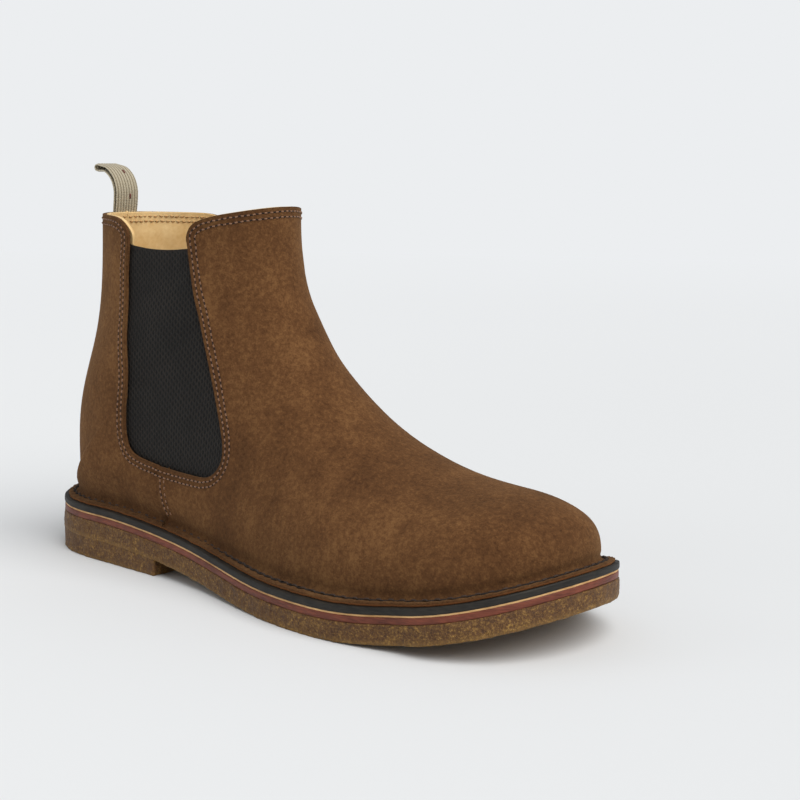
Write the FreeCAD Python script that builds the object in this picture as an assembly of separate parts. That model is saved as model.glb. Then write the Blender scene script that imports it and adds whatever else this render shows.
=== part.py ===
import FreeCAD, Part
import math
import os

# Chelsea boot for the right foot, on a stitchdown sole with a crepe rubber outsole and heel.
# Frame: +X towards the toe, +Y towards the inner side of the foot, +Z up, millimetres.
# x is measured from the back of the outsole while the model is built. At the end everything is
# shifted, so that the origin is the middle of the footprint's box, at floor level.

# ---- driving dimensions ---------------------------------------------------------------------
HEEL_STACK = 25.0        # floor to the plane where the upper turns out, under the heel
FORE_STACK = 15.3        # the same under the ball of the foot
TOE_SPRING = 17.0        # extra lift of that plane at x = 300
HEEL_FLAT_END = 50.0     # the heel seat is level up to here
BALL_START = 180.0       # the forefoot is level from here
BALL_END = 205.0         # and rises towards the toe from here

WELT_T = 3.0             # dark welt strip that the suede flange is sewn to
NATURAL_T = 0.8          # thin pale leather layer
MIDSOLE_T = 2.9          # red-brown leather midsole
CREPE_T = FORE_STACK - WELT_T - NATURAL_T - MIDSOLE_T
HEEL_BREAST = 92.0       # front face of the heel block

SUEDE_T = 1.8            # vamp and quarter
MIDDLE_TOP = 2.0         # depth of the layer between suede and lining
MIDDLE_END = 3.0
LINING_TOP = 3.2         # depth of the lining
LINING_END = 4.1
FLANGE_OUT = 6.8         # how far the suede flange stands out from the feather line
SOLE_OUT = 8.8           # how far the sole edge stands out from the feather line
INSOLE_IN = 4.5          # insole board's edge, inside the feather line
INSOLE_T = 2.4
SOCK_T = 2.0
STIFFENER_LIFT = 2.0     # counter and puff start this high over the feather plane
CLEAR = 0.05             # gap between neighbouring layers

COLLAR_BACK_Z = 162.0    # top of the quarter
LOOP_W = 12.5            # pull loop webbing
LOOP_T = 1.25
LOOP_RISE = 20.0
LOOP_SLIT = 0.7
STRIP_W = 7.0            # strip over the back seam
STRIP_T = 1.0
SHANK_X = (62.0, 165.0)  # steel shank under the insole board
SHANK_W = 13.0
SHANK_T = 1.3
STITCH_R = 0.3           # thread of the upper's seams, laid on the suede
STITCH_GAP = 0.12        # threads lie this far off the suede
STITCH_PITCH = 3.2
STITCH_LENGTH = 2.2
STITCH_ROWS = (2.0, 4.4)
WELT_SEAM_IN = 2.2       # the welt seam, inside the flange's edge
WELT_PITCH = 5.2
WELT_LENGTH = 3.6

# ---- the last: half widths of the feather line, (x, half width) -------------------------------
OUTER_HALF = ((0, 28.5), (40, 30.5), (80, 31.8), (115, 34), (145, 40), (175, 47.5),
              (205, 51), (235, 47.5), (255, 41))
INNER_HALF = ((0, 30), (40, 31.5), (80, 29), (115, 27.5), (145, 31.5), (175, 38.5),
              (205, 44), (235, 45), (255, 42.5))
HEEL_X = 9.0             # back end of the feather line
HEEL_ROUND = 42.0        # the heel's round starts here
HEEL_POWER = 2.2         # how square the heel's round is

# Sections fan out from the toe to the collar. Each one is a plane through a lower point on the
# feather line (x) and an upper point on the top line (x, z), with the half widths at its widest
# (outer, inner), the height of the widest place as a share of the section, and the sideways
# shift of the top line.
SOLE_SECTIONS = (
    (243, (294.5, None), 45.4, 44.8, 0.12, 4.5),
    (240.5, (296.0, 34.0), 46.6, 45.3, 0.12, 4.5),
    (237, (295.8, 41.8), 47.7, 46.0, 0.12, 4.5),
    (232.5, (289.5, 51.3), 48.5, 46.6, 0.13, 4.3),
    (226, (272.0, 57.5), 49.7, 47.0, 0.14, 4.0),
    (217, (252.5, 59.5), 50.9, 47.3, 0.15, 3.5),
    (203, (231.0, 62.3), 51.6, 47.0, 0.16, 3.0),
    (185, (208.7, 68.8), 50.3, 45.5, 0.17, 2.5),
    (162, (187.6, 79.2), 46.2, 43.0, 0.18, 2.0),
    (136, (169.3, 92.8), 42.2, 40.6, 0.20, 2.0),
    (106, (155.8, 107.0), 39.4, 38.8, 0.25, 1.0),
    (73, (147.0, 121.0), 38.8, 38.4, 0.30, 1.0),
    (40, (141.3, 132.8), 39.4, 39.0, 0.35, 0.0),
    (HEEL_X, (138.3, 143.6), 39.4, 39.2, 0.40, 0.0),
)
BACK_SECTIONS = (          # the lower point is now on the back line: (x, z)
    ((8.0, 62.0), (136.8, 153.5), 37.4, 37.2, 0.43, 0.0),
    ((17.5, 100.0), (136.6, 163.1), 33.7, 33.6, 0.45, 0.0),
    ((22.5, 138.0), (136.4, 172.6), 33.4, 33.4, 0.46, 0.0),
    ((24.0, 176.0), (136.3, 182.6), 34.8, 34.8, 0.46, 0.0),
)
CORNER = len(SOLE_SECTIONS) - 1      # the section through the back end of the feather line
LAST = CORNER + len(BACK_SECTIONS)
HANDLE = 0.5523                      # handle length of a quarter ellipse

# ---- side view lines: (x, z) --------------------------------------------------------------------
GORE_TOP = 150.5
COLLAR_REAR = ((-20, 163), (10, 162.5), (34, 162.2), (54, 161.8), (62, 159.3), (65.8, 155))
GORE_REAR = ((66, GORE_TOP), (64.6, 134), (67, 112), (70.6, 92), (70, 74), (70.6, 62))
GORE_FOOT = ((75, 54.8), (90, 51.5), (108, 50), (124, 50.5))
GORE_FRONT = ((131.5, 56.5), (132, 65), (126, 80), (118, 99), (110, 120), (104, 140),
              (102, GORE_TOP))
COLLAR_FRONT = ((101.6, 155), (104.5, 160.2), (112, 163.6), (124, 166.3), (140, 169.5), (170, 175))
SIDE_SEAM = ((97, 80), (92.5, 54), (92, 44), (93, 34), (97, 24), (102, 5), (104, -5))
GORE_LAP = 8.0           # how far the elastic runs on under the suede
COUNTER_EDGE = ((-10, 76), (10, 75), (40, 64), (64, 46), (84, 34), (92, 15))
PUFF_EDGE = ((262, 80), (252, 62), (244, 45), (238, 10))
OUTLINE_POINTS = 60      # on the feather line
FAR = 400.0              # beyond the boot in every direction

Vec = FreeCAD.Vector


def spline(xs, ys):
    """Natural cubic spline through the points, as a function."""
    count = len(xs)
    step = [xs[i + 1] - xs[i] for i in range(count - 1)]
    low = [0.0] * count
    mid = [1.0] * count
    high = [0.0] * count
    right = [0.0] * count
    for i in range(1, count - 1):
        low[i] = step[i - 1]
        mid[i] = 2 * (step[i - 1] + step[i])
        high[i] = step[i]
        right[i] = 6 * ((ys[i + 1] - ys[i]) / step[i] - (ys[i] - ys[i - 1]) / step[i - 1])
    for i in range(1, count):
        ratio = low[i] / mid[i - 1]
        mid[i] -= ratio * high[i - 1]
        right[i] -= ratio * right[i - 1]
    bend = [0.0] * count
    for i in range(count - 1, -1, -1):
        after = high[i] * bend[i + 1] if i < count - 1 else 0.0
        bend[i] = (right[i] - after) / mid[i]

    def value(x):
        i = 0
        while i < count - 2 and x > xs[i + 1]:
            i += 1
        a = x - xs[i]
        b = xs[i + 1] - x
        h = step[i]
        curve = (bend[i] * b ** 3 + bend[i + 1] * a ** 3) / (6 * h)
        return curve + (ys[i] / h - bend[i] * h / 6) * b + (ys[i + 1] / h - bend[i + 1] * h / 6) * a
    return value


def feather_z(x):
    """Height of the plane where the upper turns out and the sole begins."""
    t = min(1.0, max(0.0, (x - HEEL_FLAT_END) / (BALL_START - HEEL_FLAT_END)))
    rise = max(0.0, (x - BALL_END) / (300.0 - BALL_END))
    return HEEL_STACK + (FORE_STACK - HEEL_STACK) * t * t * (3 - 2 * t) + TOE_SPRING * rise ** 2


outer_half = spline(*zip(*OUTER_HALF))
inner_half = spline(*zip(*INNER_HALF))


def feather_half(x, side):
    """Half width of the feather line. side is -1 on the outer side, +1 on the inner."""
    width = outer_half(x) if side < 0 else inner_half(x)
    c = max(0.0, (HEEL_ROUND - x) / (HEEL_ROUND - HEEL_X))
    return width * max(0.0, 1 - c ** HEEL_POWER) ** (1 / HEEL_POWER)


def section_values():
    """The section table as splines over the section number."""
    rows = [((x, None), top, a, b, s, y) for x, top, a, b, s, y in SOLE_SECTIONS]
    rows += list(BACK_SECTIONS)
    number = list(range(len(rows)))
    back = rows[CORNER + 1:]
    back_z = [HEEL_STACK] + [row[0][1] for row in back]
    table = {
        "sole_x": spline(number[:CORNER + 1], [row[0][0] for row in rows[:CORNER + 1]]),
        "back_z": spline(number[CORNER:], back_z),
        "back_x": spline(back_z, [HEEL_X] + [row[0][0] for row in back]),
        "top_x": spline(number, [row[1][0] for row in rows]),
        "top_z": spline(number, [row[1][1] or feather_z(row[1][0]) for row in rows]),
    }
    for name, column in (("outer", 2), ("inner", 3), ("widest", 4), ("shift", 5)):
        table[name] = spline(number, [row[column] for row in rows])
    return table


TABLE = section_values()


def section_frame(k):
    """Lower point, upper point (both x, z) of section k."""
    if k <= CORNER:
        low_x = TABLE["sole_x"](k)
        low = (low_x, feather_z(low_x))
    else:
        low_z = TABLE["back_z"](k)
        low = (TABLE["back_x"](low_z), low_z)
    return low, (TABLE["top_x"](k), TABLE["top_z"](k))


def section_shape(k, side):
    """The two curves of one half section, as handles in (share of the section, y)."""
    foot = feather_half(section_frame(k)[0][0], side) if k < CORNER else 0.0
    wide = max(TABLE["outer" if side < 0 else "inner"](k), foot)
    widest = TABLE["widest"](k)
    ratio = foot / wide
    lower = ((0, foot), (0.4 * widest * ratio, foot + (wide - foot) * (HANDLE + (1 - HANDLE) * ratio)),
             (widest * (1 - HANDLE), wide), (widest, wide))
    upper = ((widest, wide), (widest + (1 - widest) * HANDLE, wide), (1, wide * HANDLE), (1, 0))
    return lower, upper, wide


def bezier(handles, t):
    m = 1 - t
    weights = (m ** 3, 3 * m * m * t, 3 * m * t * t, t ** 3)
    return [sum(w * h[axis] for w, h in zip(weights, handles)) for axis in (0, 1)]


def section_point(k, side, share, y, wide):
    low, top = section_frame(k)
    centre = TABLE["shift"](k) * share * (1 - y / wide)
    return Vec(low[0] + (top[0] - low[0]) * share, centre + side * y,
                low[1] + (top[1] - low[1]) * share)


def half_section(k, side, count):
    """Points of one half section from the feather line to the top line, evenly spaced."""
    lower, upper, wide = section_shape(k, side)
    fine = [bezier(lower, i / 16) for i in range(17)]
    fine += [bezier(upper, i / 16) for i in range(1, 17)]
    line = [section_point(k, side, s, y, wide) for s, y in fine]
    length = [0.0]
    for a, b in zip(line, line[1:]):
        length.append(length[-1] + (b - a).Length)
    points = []
    j = 0
    for i in range(count):
        target = length[-1] * i / (count - 1)
        while j < len(length) - 2 and length[j + 1] < target:
            j += 1
        t = (target - length[j]) / max(1e-9, length[j + 1] - length[j])
        points.append(line[j] + (line[j + 1] - line[j]) * t)
    return points


HALF_POINTS = 12         # grid points on one half section
COLUMNS = 2 * HALF_POINTS - 1
MIDDLE = HALF_POINTS - 1
ROW_AT = [i / 2 for i in range(2 * (CORNER - 1) + 1)]
HEEL_ROWS = 6            # closer rows round the heel, closest at its back
for m in range(1, HEEL_ROWS + 1):
    ROW_AT.append(CORNER - 1 + 0.35 * m / HEEL_ROWS + 0.65 * math.sin(m / HEEL_ROWS * math.pi / 2))
CORNER_ROW = len(ROW_AT) - 1
ROW_AT += [CORNER + near for near in (0.12, 0.3, 0.57)]
ROW_AT += [CORNER + i / 2 for i in range(2, 2 * (LAST - CORNER) + 1)]
ROWS = len(ROW_AT)


def surface_grid():
    rows = []
    for k in ROW_AT:
        outer = half_section(k, -1, HALF_POINTS)
        inner = half_section(k, 1, HALF_POINTS)
        rows.append(outer + inner[::-1][1:])
    return rows


def grid_normals(grid):
    """Outward normals by central differences, one-sided at the edges."""
    normals = []
    for i in range(ROWS):
        row = []
        for j in range(COLUMNS):
            along = grid[min(i + 1, ROWS - 1)][j] - grid[max(i - 1, 0)][j]
            if i > CORNER_ROW and j in (0, COLUMNS - 1):
                across = grid[i][1] - grid[i][COLUMNS - 2]
            else:
                across = grid[i][min(j + 1, COLUMNS - 1)] - grid[i][max(j - 1, 0)]
            normal = across.cross(along)
            row.append(normal.normalize())
        normals.append(row)
    for j in (0, COLUMNS - 1):
        normals[CORNER_ROW][j] = Vec(-1, 0, 0)
    return normals


GRID = surface_grid()
NORMALS = grid_normals(GRID)


def layer_grid(depth):
    """The surface moved inwards by depth, with its foot kept on the feather plane."""
    rows = []
    for i in range(ROWS):
        row = [GRID[i][j] - NORMALS[i][j] * depth for j in range(COLUMNS)]
        if i <= CORNER_ROW:
            for j in (0, COLUMNS - 1) if i else range(COLUMNS):
                flat = Vec(NORMALS[i][j].x, NORMALS[i][j].y, 0).normalize()
                point = GRID[i][j] - flat * depth
                row[j] = Vec(point.x, point.y, feather_z(point.x))
        rows.append(row)
    return rows


def poles_between(points, first, final, low, high):
    """Poles of the smooth cubic from point first to point final.

    The slope at a point comes from its neighbours, as long as they lie between low and high."""
    poles = []
    for i in range(first, final + 1):
        before = max(i - 1, low)
        after = min(i + 1, high)
        step = (points[after] - points[before]) * (1 / (3.0 * (after - before)))
        if i > first:
            poles.append(points[i] - step)
        if i in (first, final):
            poles.append(points[i])
        if i < final:
            poles.append(points[i] + step)
    return poles


def patch(grid, first_row, final_row, first_column, final_column):
    """One smooth face over a block of the grid. Blocks that touch share their border exactly."""
    across = [poles_between(row, first_column, final_column, 0, COLUMNS - 1) for row in grid]
    foot = 0 if first_column == 0 else len(across[0]) - 1
    corner = (0, CORNER_ROW) if final_row <= CORNER_ROW else (CORNER_ROW, ROWS - 1)
    columns = []
    for m in range(len(across[0])):
        low, high = corner if m == foot else (0, ROWS - 1)
        columns.append(poles_between([row[m] for row in across], first_row, final_row, low, high))
    spans = (final_row - first_row, final_column - first_column)
    surface = Part.BSplineSurface()
    surface.buildFromPolesMultsKnots(
        [list(row) for row in zip(*columns)],
        *[[4] + [2] * (span - 1) + [4] for span in spans],
        *[[float(i) for i in range(span + 1)] for span in spans],
        False, False, 3, 3)
    return surface


def shell_faces(grid):
    faces = []
    for rows in ((0, CORNER_ROW), (CORNER_ROW, ROWS - 1)):
        for columns in ((0, MIDDLE), (MIDDLE, COLUMNS - 1)):
            faces.append(patch(grid, rows[0], rows[1], columns[0], columns[1]).toShape())
    return faces


def edge_of(surface_face, u_line, low):
    """One border of a patch as an edge: its first or last row or column."""
    surface = surface_face.Surface
    first_u, final_u, first_v, final_v = surface.bounds()
    if u_line:
        return surface.uIso(first_u if low else final_u).toShape()
    return surface.vIso(first_v if low else final_v).toShape()


def layer(outer_depth, inner_depth):
    """The whole upper as one closed layer between two depths, open at the foot and the collar."""
    outer = shell_faces(layer_grid(outer_depth))
    inner = shell_faces(layer_grid(inner_depth))
    faces = outer + inner
    rims = ((0, True, True), (1, True, True), (0, False, True), (1, False, False),
            (2, True, False), (3, True, False))
    for index, u_line, low in rims:
        a = edge_of(outer[index], u_line, low)
        b = edge_of(inner[index], u_line, low)
        faces.append(Part.makeRuledSurface(a, b))
    sewn = Part.makeCompound(faces)
    sewn.sewShape()
    solid = Part.makeSolid(sewn.Shells[0])
    if solid.Volume < 0:
        solid.reverse()
    return solid


# ---- cutting shapes ---------------------------------------------------------------------------


def at_side(point):
    return Vec(point[0], -FAR / 2, point[1])


def side_prism(line, corners):
    """Block across the whole boot. Its side view is a smooth line closed through the corners."""
    spline_edge = Part.BSplineCurve()
    spline_edge.interpolate([at_side(p) for p in line])
    straight = Part.makePolygon([at_side(p) for p in (line[-1],) + tuple(corners) + (line[0],)])
    wire = Part.Wire([spline_edge.toShape()] + straight.Edges)
    return Part.Face(wire).extrude(Vec(0, FAR, 0))


def offset_line(line, distance):
    """The line moved to its right hand side, seen with x to the right and z up."""
    moved = []
    for i, point in enumerate(line):
        a = line[max(i - 1, 0)]
        b = line[min(i + 1, len(line) - 1)]
        length = math.dist(a, b)
        moved.append((point[0] - (b[1] - a[1]) / length * distance * -1,
                      point[1] + (b[0] - a[0]) / length * distance * -1))
    return moved


def sole_line(lift):
    """Side view of the feather plane, moved up by lift."""
    return [(x, feather_z(x) + lift) for x in range(-10, 321, 10)]


def above_sole(lift):
    return side_prism(sole_line(lift), ((320, FAR), (-10, FAR)))


def band(low, high):
    """Everything between two heights over the feather plane."""
    return side_prism(sole_line(low), ((320, FAR), (-10, FAR))).cut(above_sole(high))


def feather_points():
    """The feather line in plan, evenly spaced, once round from the heel over the outer side."""
    outer = [GRID[i][0] for i in range(CORNER_ROW, 0, -1)]
    inner = [GRID[i][COLUMNS - 1] for i in range(1, CORNER_ROW)]
    flat = [Vec(p.x, p.y, 0) for p in outer + GRID[0] + inner]
    return Part.makePolygon(flat + flat[:1]).discretize(OUTLINE_POINTS + 1)[:-1]


def outline_points(out):
    """The feather line moved outwards by out, at height 0."""
    line = feather_points()
    moved = []
    for i, point in enumerate(line):
        along = (line[(i + 1) % len(line)] - line[i - 1]).normalize()
        moved.append(point + Vec(along.y, -along.x, 0) * out)
    return moved


def outline_prism(out, bottom=-20.0, height=120.0):
    edge = Part.BSplineCurve()
    edge.interpolate(outline_points(out), True)
    face = Part.Face(Part.Wire([edge.toShape()]))
    face.translate(Vec(0, 0, bottom))
    return face.extrude(Vec(0, 0, height))


def box(low, high):
    return Part.makeBox(high[0] - low[0], high[1] - low[1], high[2] - low[2], Vec(*low))


UPPER_EDGE = COLLAR_REAR + GORE_REAR + GORE_FOOT + GORE_FRONT + COLLAR_FRONT
SEAM_ROW = SIDE_SEAM[2:4] + ((95.2, 28.5),)


def under_collar():
    """Below the collar and outside the gore windows."""
    return side_prism(UPPER_EDGE, ((FAR, 175), (FAR, -20), (-20, -20)))


def behind_seam(shift):
    line = [(x + shift, z) for x, z in SIDE_SEAM]
    return side_prism(line, ((-FAR, -5), (-FAR, FAR), (97 + shift, FAR)))


# ---- upper ------------------------------------------------------------------------------------


def flange():
    """The suede turned outwards at the foot. It starts inside the wall."""
    ring = outline_prism(FLANGE_OUT).cut(outline_prism(-SUEDE_T * 2 / 3))
    return ring.common(band(CLEAR, SUEDE_T))


def suede_pieces():
    """Vamp, and the two quarters that meet at the back seam."""
    wall = layer(0.0, SUEDE_T).common(above_sole(SUEDE_T * 0.4)).common(under_collar())
    foot = flange()
    rear = behind_seam(-CLEAR)
    front = behind_seam(CLEAR)
    quarters = wall.common(rear).fuse(foot.common(rear))
    return {
        "vamp": wall.cut(front).fuse(foot.cut(front)),
        "quarter_outer": quarters.common(box((-50, -100, -10), (150, -CLEAR, 250))),
        "quarter_inner": quarters.common(box((-50, CLEAR, -10), (150, 100, 250))),
    }


def gore_area(lap):
    """Side view block of the elastic, wider than its window by lap."""
    line = offset_line(GORE_REAR + GORE_FOOT + GORE_FRONT, lap)
    line[0] = (line[0][0], GORE_TOP)
    line[-1] = (line[-1][0], GORE_TOP)
    return side_prism(line, ())


def middle_pieces():
    """Elastic gores, heel counter, toe puff and the sewn ends of the pull loop."""
    whole = layer(MIDDLE_TOP, MIDDLE_END).common(above_sole(STIFFENER_LIFT))
    gores = whole.common(gore_area(GORE_LAP))
    counter = whole.common(side_prism(COUNTER_EDGE, ((92, -20), (-10, -20))))
    puff = whole.common(side_prism(PUFF_EDGE, ((FAR, 10), (FAR, 80))))
    tails = box((0, -LOOP_W / 2, 146), (45, LOOP_W / 2, COLLAR_BACK_Z - 0.3))
    return {
        "gore_outer": gores.common(box((0, -100, 0), (200, 0, 200))),
        "gore_inner": gores.common(box((0, 0, 0), (200, 100, 200))),
        "heel_counter": counter.cut(gore_area(GORE_LAP + 0.4)),
        "toe_puff": puff,
        "pull_loop_tails": whole.common(tails),
    }


def lining_pieces():
    whole = layer(LINING_TOP, LINING_END).common(above_sole(2 * CLEAR)).common(under_collar())
    footbed = outline_prism(-INSOLE_IN + 2 * CLEAR).common(band(0, INSOLE_T + SOCK_T + 2 * CLEAR))
    whole = whole.cut(footbed)
    return {
        "vamp_lining": whole.cut(behind_seam(CLEAR)),
        "quarter_lining": whole.common(behind_seam(-CLEAR)),
    }


def back_strip():
    """Narrow strip over the back seam."""
    strip = layer(-STRIP_T, -CLEAR)
    return strip.common(box((-20, -STRIP_W / 2, HEEL_STACK + SUEDE_T + 1.0),
                            (40, STRIP_W / 2, COLLAR_BACK_Z - 1.0)))


# ---- sole -------------------------------------------------------------------------------------


def sole_pieces():
    """Stack from the welt strip down to the heel block, and what lies on it inside."""
    levels = {}
    top = 0.0
    for name, thick, out in (("welt_strip", WELT_T, SOLE_OUT),
                             ("natural_layer", NATURAL_T, SOLE_OUT - 0.4),
                             ("leather_midsole", MIDSOLE_T, SOLE_OUT - 0.2),
                             ("crepe_outsole", CREPE_T, SOLE_OUT + 0.2)):
        levels[name] = outline_prism(out).common(band(top - thick, top - (CLEAR if top else 0)))
        top -= thick
    heel = outline_prism(SOLE_OUT + 0.2).common(box((-20, -100, 0), (HEEL_BREAST, 100, 60)))
    levels["heel_block"] = heel.cut(above_sole(top - CLEAR))
    shank_bed = box((SHANK_X[0], -SHANK_W / 2, 0), (SHANK_X[1], SHANK_W / 2, 60))
    groove = box((SHANK_X[0] - 0.3, -SHANK_W / 2 - 0.3, 0), (SHANK_X[1] + 0.3, SHANK_W / 2 + 0.3, 60))
    board = outline_prism(-INSOLE_IN).common(band(2 * CLEAR, INSOLE_T))
    levels["insole_board"] = board.cut(groove.common(band(0, SHANK_T + 0.3)))
    levels["shank"] = shank_bed.common(band(2 * CLEAR, SHANK_T))
    levels["sock_liner"] = outline_prism(-INSOLE_IN - 0.2).common(
        band(INSOLE_T + CLEAR, INSOLE_T + SOCK_T))
    return levels


# ---- pull loop --------------------------------------------------------------------------------

LOOP_ROOT = (TABLE["back_x"](COLLAR_BACK_Z) + (MIDDLE_TOP + MIDDLE_END) / 2,
             COLLAR_BACK_Z + 0.6 + LOOP_T)
LOOP_LINE = ((0, 0), (0.8, 5), (0.6, 10), (-1.8, 15), (-6.6, 18.6), (-12.8, 19.4))


def pull_loop():
    """Webbing folded in two. Its lower end is round, about the line that it swings on."""
    centre = [(LOOP_ROOT[0] + x, LOOP_ROOT[1] + z * LOOP_RISE / 19.4) for x, z in LOOP_LINE]
    half = LOOP_T + LOOP_SLIT / 2
    left = offset_line(centre, -half)
    right = offset_line(centre, half)
    tip = (centre[-1][0] - half, centre[-1][1] + 0.1)
    edges = []
    for line in (left, right):
        edge = Part.BSplineCurve()
        edge.interpolate([Vec(x, 0, z) for x, z in line])
        edges.append(edge.toShape())
    edges.append(Part.Arc(*[Vec(x, 0, z) for x, z in (left[-1], tip, right[-1])]).toShape())
    root = (centre[0][0], centre[0][1] - half)
    edges.append(Part.Arc(*[Vec(x, 0, z) for x, z in (left[0], root, right[0])]).toShape())
    face = Part.Face(Part.Wire(Part.__sortEdges__(edges)))
    solid = face.extrude(Vec(0, LOOP_W, 0))
    slit_line = centre[1:-1] + [((centre[-1][0] * 3 + centre[-2][0]) / 4,
                                 (centre[-1][1] * 3 + centre[-2][1]) / 4)]
    a = offset_line(slit_line, -LOOP_SLIT / 2)
    b = offset_line(slit_line, LOOP_SLIT / 2)
    slit = Part.Face(Part.makePolygon([Vec(x, 0, z) for x, z in a + b[::-1] + a[:1]]))
    solid = solid.cut(slit.extrude(Vec(0, LOOP_W, 0)))
    solid.translate(Vec(0, -LOOP_W / 2, 0))
    return solid


# ---- stitches ---------------------------------------------------------------------------------


def section_through(x, z):
    """Section number whose plane holds the side view point."""
    low = 0.0
    high = float(LAST)
    for _ in range(40):
        k = (low + high) / 2
        foot, top = section_frame(k)
        turn = (top[0] - foot[0]) * (z - foot[1]) - (top[1] - foot[1]) * (x - foot[0])
        if turn > 0:
            low = k
        else:
            high = k
    return (low + high) / 2


def side_point(x, z, side):
    """Point of the outer surface at a side view place, and None where there is none."""
    k = section_through(x, z)
    foot, top = section_frame(k)
    share = (x - foot[0]) / (top[0] - foot[0])
    if not 0.0 < share < 1.0:
        return None
    lower, upper, wide = section_shape(k, side)
    handles = lower if share < lower[-1][0] else upper
    low = 0.0
    high = 1.0
    for _ in range(40):
        t = (low + high) / 2
        if bezier(handles, t)[0] < share:
            low = t
        else:
            high = t
    return section_point(k, side, share, bezier(handles, t)[1], wide)


def side_normal(x, z, side):
    a = side_point(x + 0.3, z, side) or side_point(x, z, side)
    b = side_point(x - 0.3, z, side) or side_point(x, z, side)
    c = side_point(x, z + 0.3, side)
    d = side_point(x, z - 0.3, side)
    normal = (a - b).cross(c - d)
    return normal.normalize() * (1 if normal.y * side > 0 else -1)


def smooth_points(line, count):
    edge = Part.BSplineCurve()
    edge.interpolate([at_side(p) for p in line])
    return [(p.x, p.z) for p in edge.toShape().discretize(count)]


def stitch(a, b):
    return Part.makeCylinder(STITCH_R, (b - a).Length, a, b - a)


def stitches_along(points, pitch, length):
    """Short bars of thread, evenly spaced along a line of points in space."""
    done = [0.0]
    for a, b in zip(points, points[1:]):
        done.append(done[-1] + (b - a).Length)
    count = int(done[-1] / pitch)

    def place(distance):
        i = 0
        while i < len(done) - 2 and done[i + 1] < distance:
            i += 1
        share = (distance - done[i]) / (done[i + 1] - done[i])
        return points[i] + (points[i + 1] - points[i]) * share
    bars = []
    for n in range(count):
        middle = (n + 0.5) * done[-1] / count
        bars.append(stitch(place(middle - length / 2), place(middle + length / 2)))
    return bars


def surface_line(line, side):
    """A side view line laid on the suede, lifted so that a thread lies on it."""
    points = []
    for x, z in smooth_points(line, 150):
        near = ((0.4, 0), (-0.4, 0), (0, 0.4), (0, -0.4))
        spots = [side_point(x + dx, z + dz, side) for dx, dz in near]
        if None in spots:
            continue
        points.append(side_point(x, z, side) + side_normal(x, z, side) * (STITCH_R + STITCH_GAP))
    return points


def stitch_pieces():
    rows = {"quarter_stitching": [], "vamp_stitching": [], "side_seam_stitching": []}
    rear = COLLAR_REAR[1:] + GORE_REAR + GORE_FOOT[:2]
    front = GORE_FOOT[1:] + GORE_FRONT + COLLAR_FRONT
    for side in (-1, 1):
        for gap in STITCH_ROWS:
            for name, line in (("quarter_stitching", rear), ("vamp_stitching", front)):
                path = surface_line(offset_line(line, gap), side)
                rows[name] += stitches_along(path, STITCH_PITCH, STITCH_LENGTH)
            seam = [(x + gap, z) for x, z in SEAM_ROW]
            path = surface_line(seam, side)
            rows["side_seam_stitching"] += stitches_along(path, STITCH_PITCH, STITCH_LENGTH)
    welt = outline_points(FLANGE_OUT - WELT_SEAM_IN)
    welt.append(welt[0])
    path = [Vec(p.x, p.y, feather_z(p.x) + SUEDE_T + STITCH_R + STITCH_GAP) for p in welt]
    rows["welt_stitching"] = stitches_along(path, WELT_PITCH, WELT_LENGTH)
    return {name: Part.makeCompound(bars) for name, bars in rows.items()}


# ---- all pieces -------------------------------------------------------------------------------


def one_solid(shape):
    """The shape without stray slivers: its solids over 1 mm3, or the shape's one solid."""
    solids = [solid for solid in shape.Solids if solid.Volume > 1.0]
    return solids[0] if len(solids) == 1 else Part.makeCompound(solids)


def build():
    pieces = {}
    for group in (suede_pieces(), middle_pieces(), lining_pieces(), sole_pieces()):
        pieces.update({name: one_solid(shape) for name, shape in group.items()})
    pieces["back_strip"] = one_solid(back_strip())
    pieces["pull_loop"] = pull_loop()
    pieces.update(stitch_pieces())
    return pieces


def centred(pieces):
    """Moved so that the footprint's middle is the origin."""
    whole = Part.makeCompound(list(pieces.values()))
    whole.tessellate(0.05)
    reach = whole.BoundBox
    shift = Vec(-(reach.XMin + reach.XMax) / 2, -(reach.YMin + reach.YMax) / 2, 0)
    for shape in pieces.values():
        shape.translate(shift)
    return shift


os.makedirs("parts", exist_ok=True)
PIECES = build()
SHIFT = centred(PIECES)
print("shift", [round(v, 3) for v in SHIFT])
for node, shape in PIECES.items():
    shape.exportStep(f"parts/{node}.step")
    print(node, shape.isValid(), len(shape.Solids), round(shape.Volume))
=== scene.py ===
import math

import bmesh
import bpy
import numpy as np
from mathutils import Matrix, Vector, geometry, noise


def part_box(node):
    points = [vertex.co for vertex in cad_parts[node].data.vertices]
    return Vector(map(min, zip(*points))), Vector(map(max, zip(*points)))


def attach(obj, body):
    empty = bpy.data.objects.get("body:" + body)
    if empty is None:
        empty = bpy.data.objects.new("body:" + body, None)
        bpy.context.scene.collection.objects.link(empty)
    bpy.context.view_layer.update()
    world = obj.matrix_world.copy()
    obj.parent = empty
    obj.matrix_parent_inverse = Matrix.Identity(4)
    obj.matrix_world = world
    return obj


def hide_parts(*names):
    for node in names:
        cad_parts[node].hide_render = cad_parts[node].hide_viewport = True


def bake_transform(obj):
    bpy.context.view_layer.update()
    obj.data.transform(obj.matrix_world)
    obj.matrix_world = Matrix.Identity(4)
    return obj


# A right chelsea boot: suede vamp and quarters on a stitchdown crepe sole, elastic side gores,
# tan lining and a webbing pull loop. Shapes are worked out in millimetres from the back of the
# outsole, as the CAD model does, and every mesh is moved into the frame in metres at the end.

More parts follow.
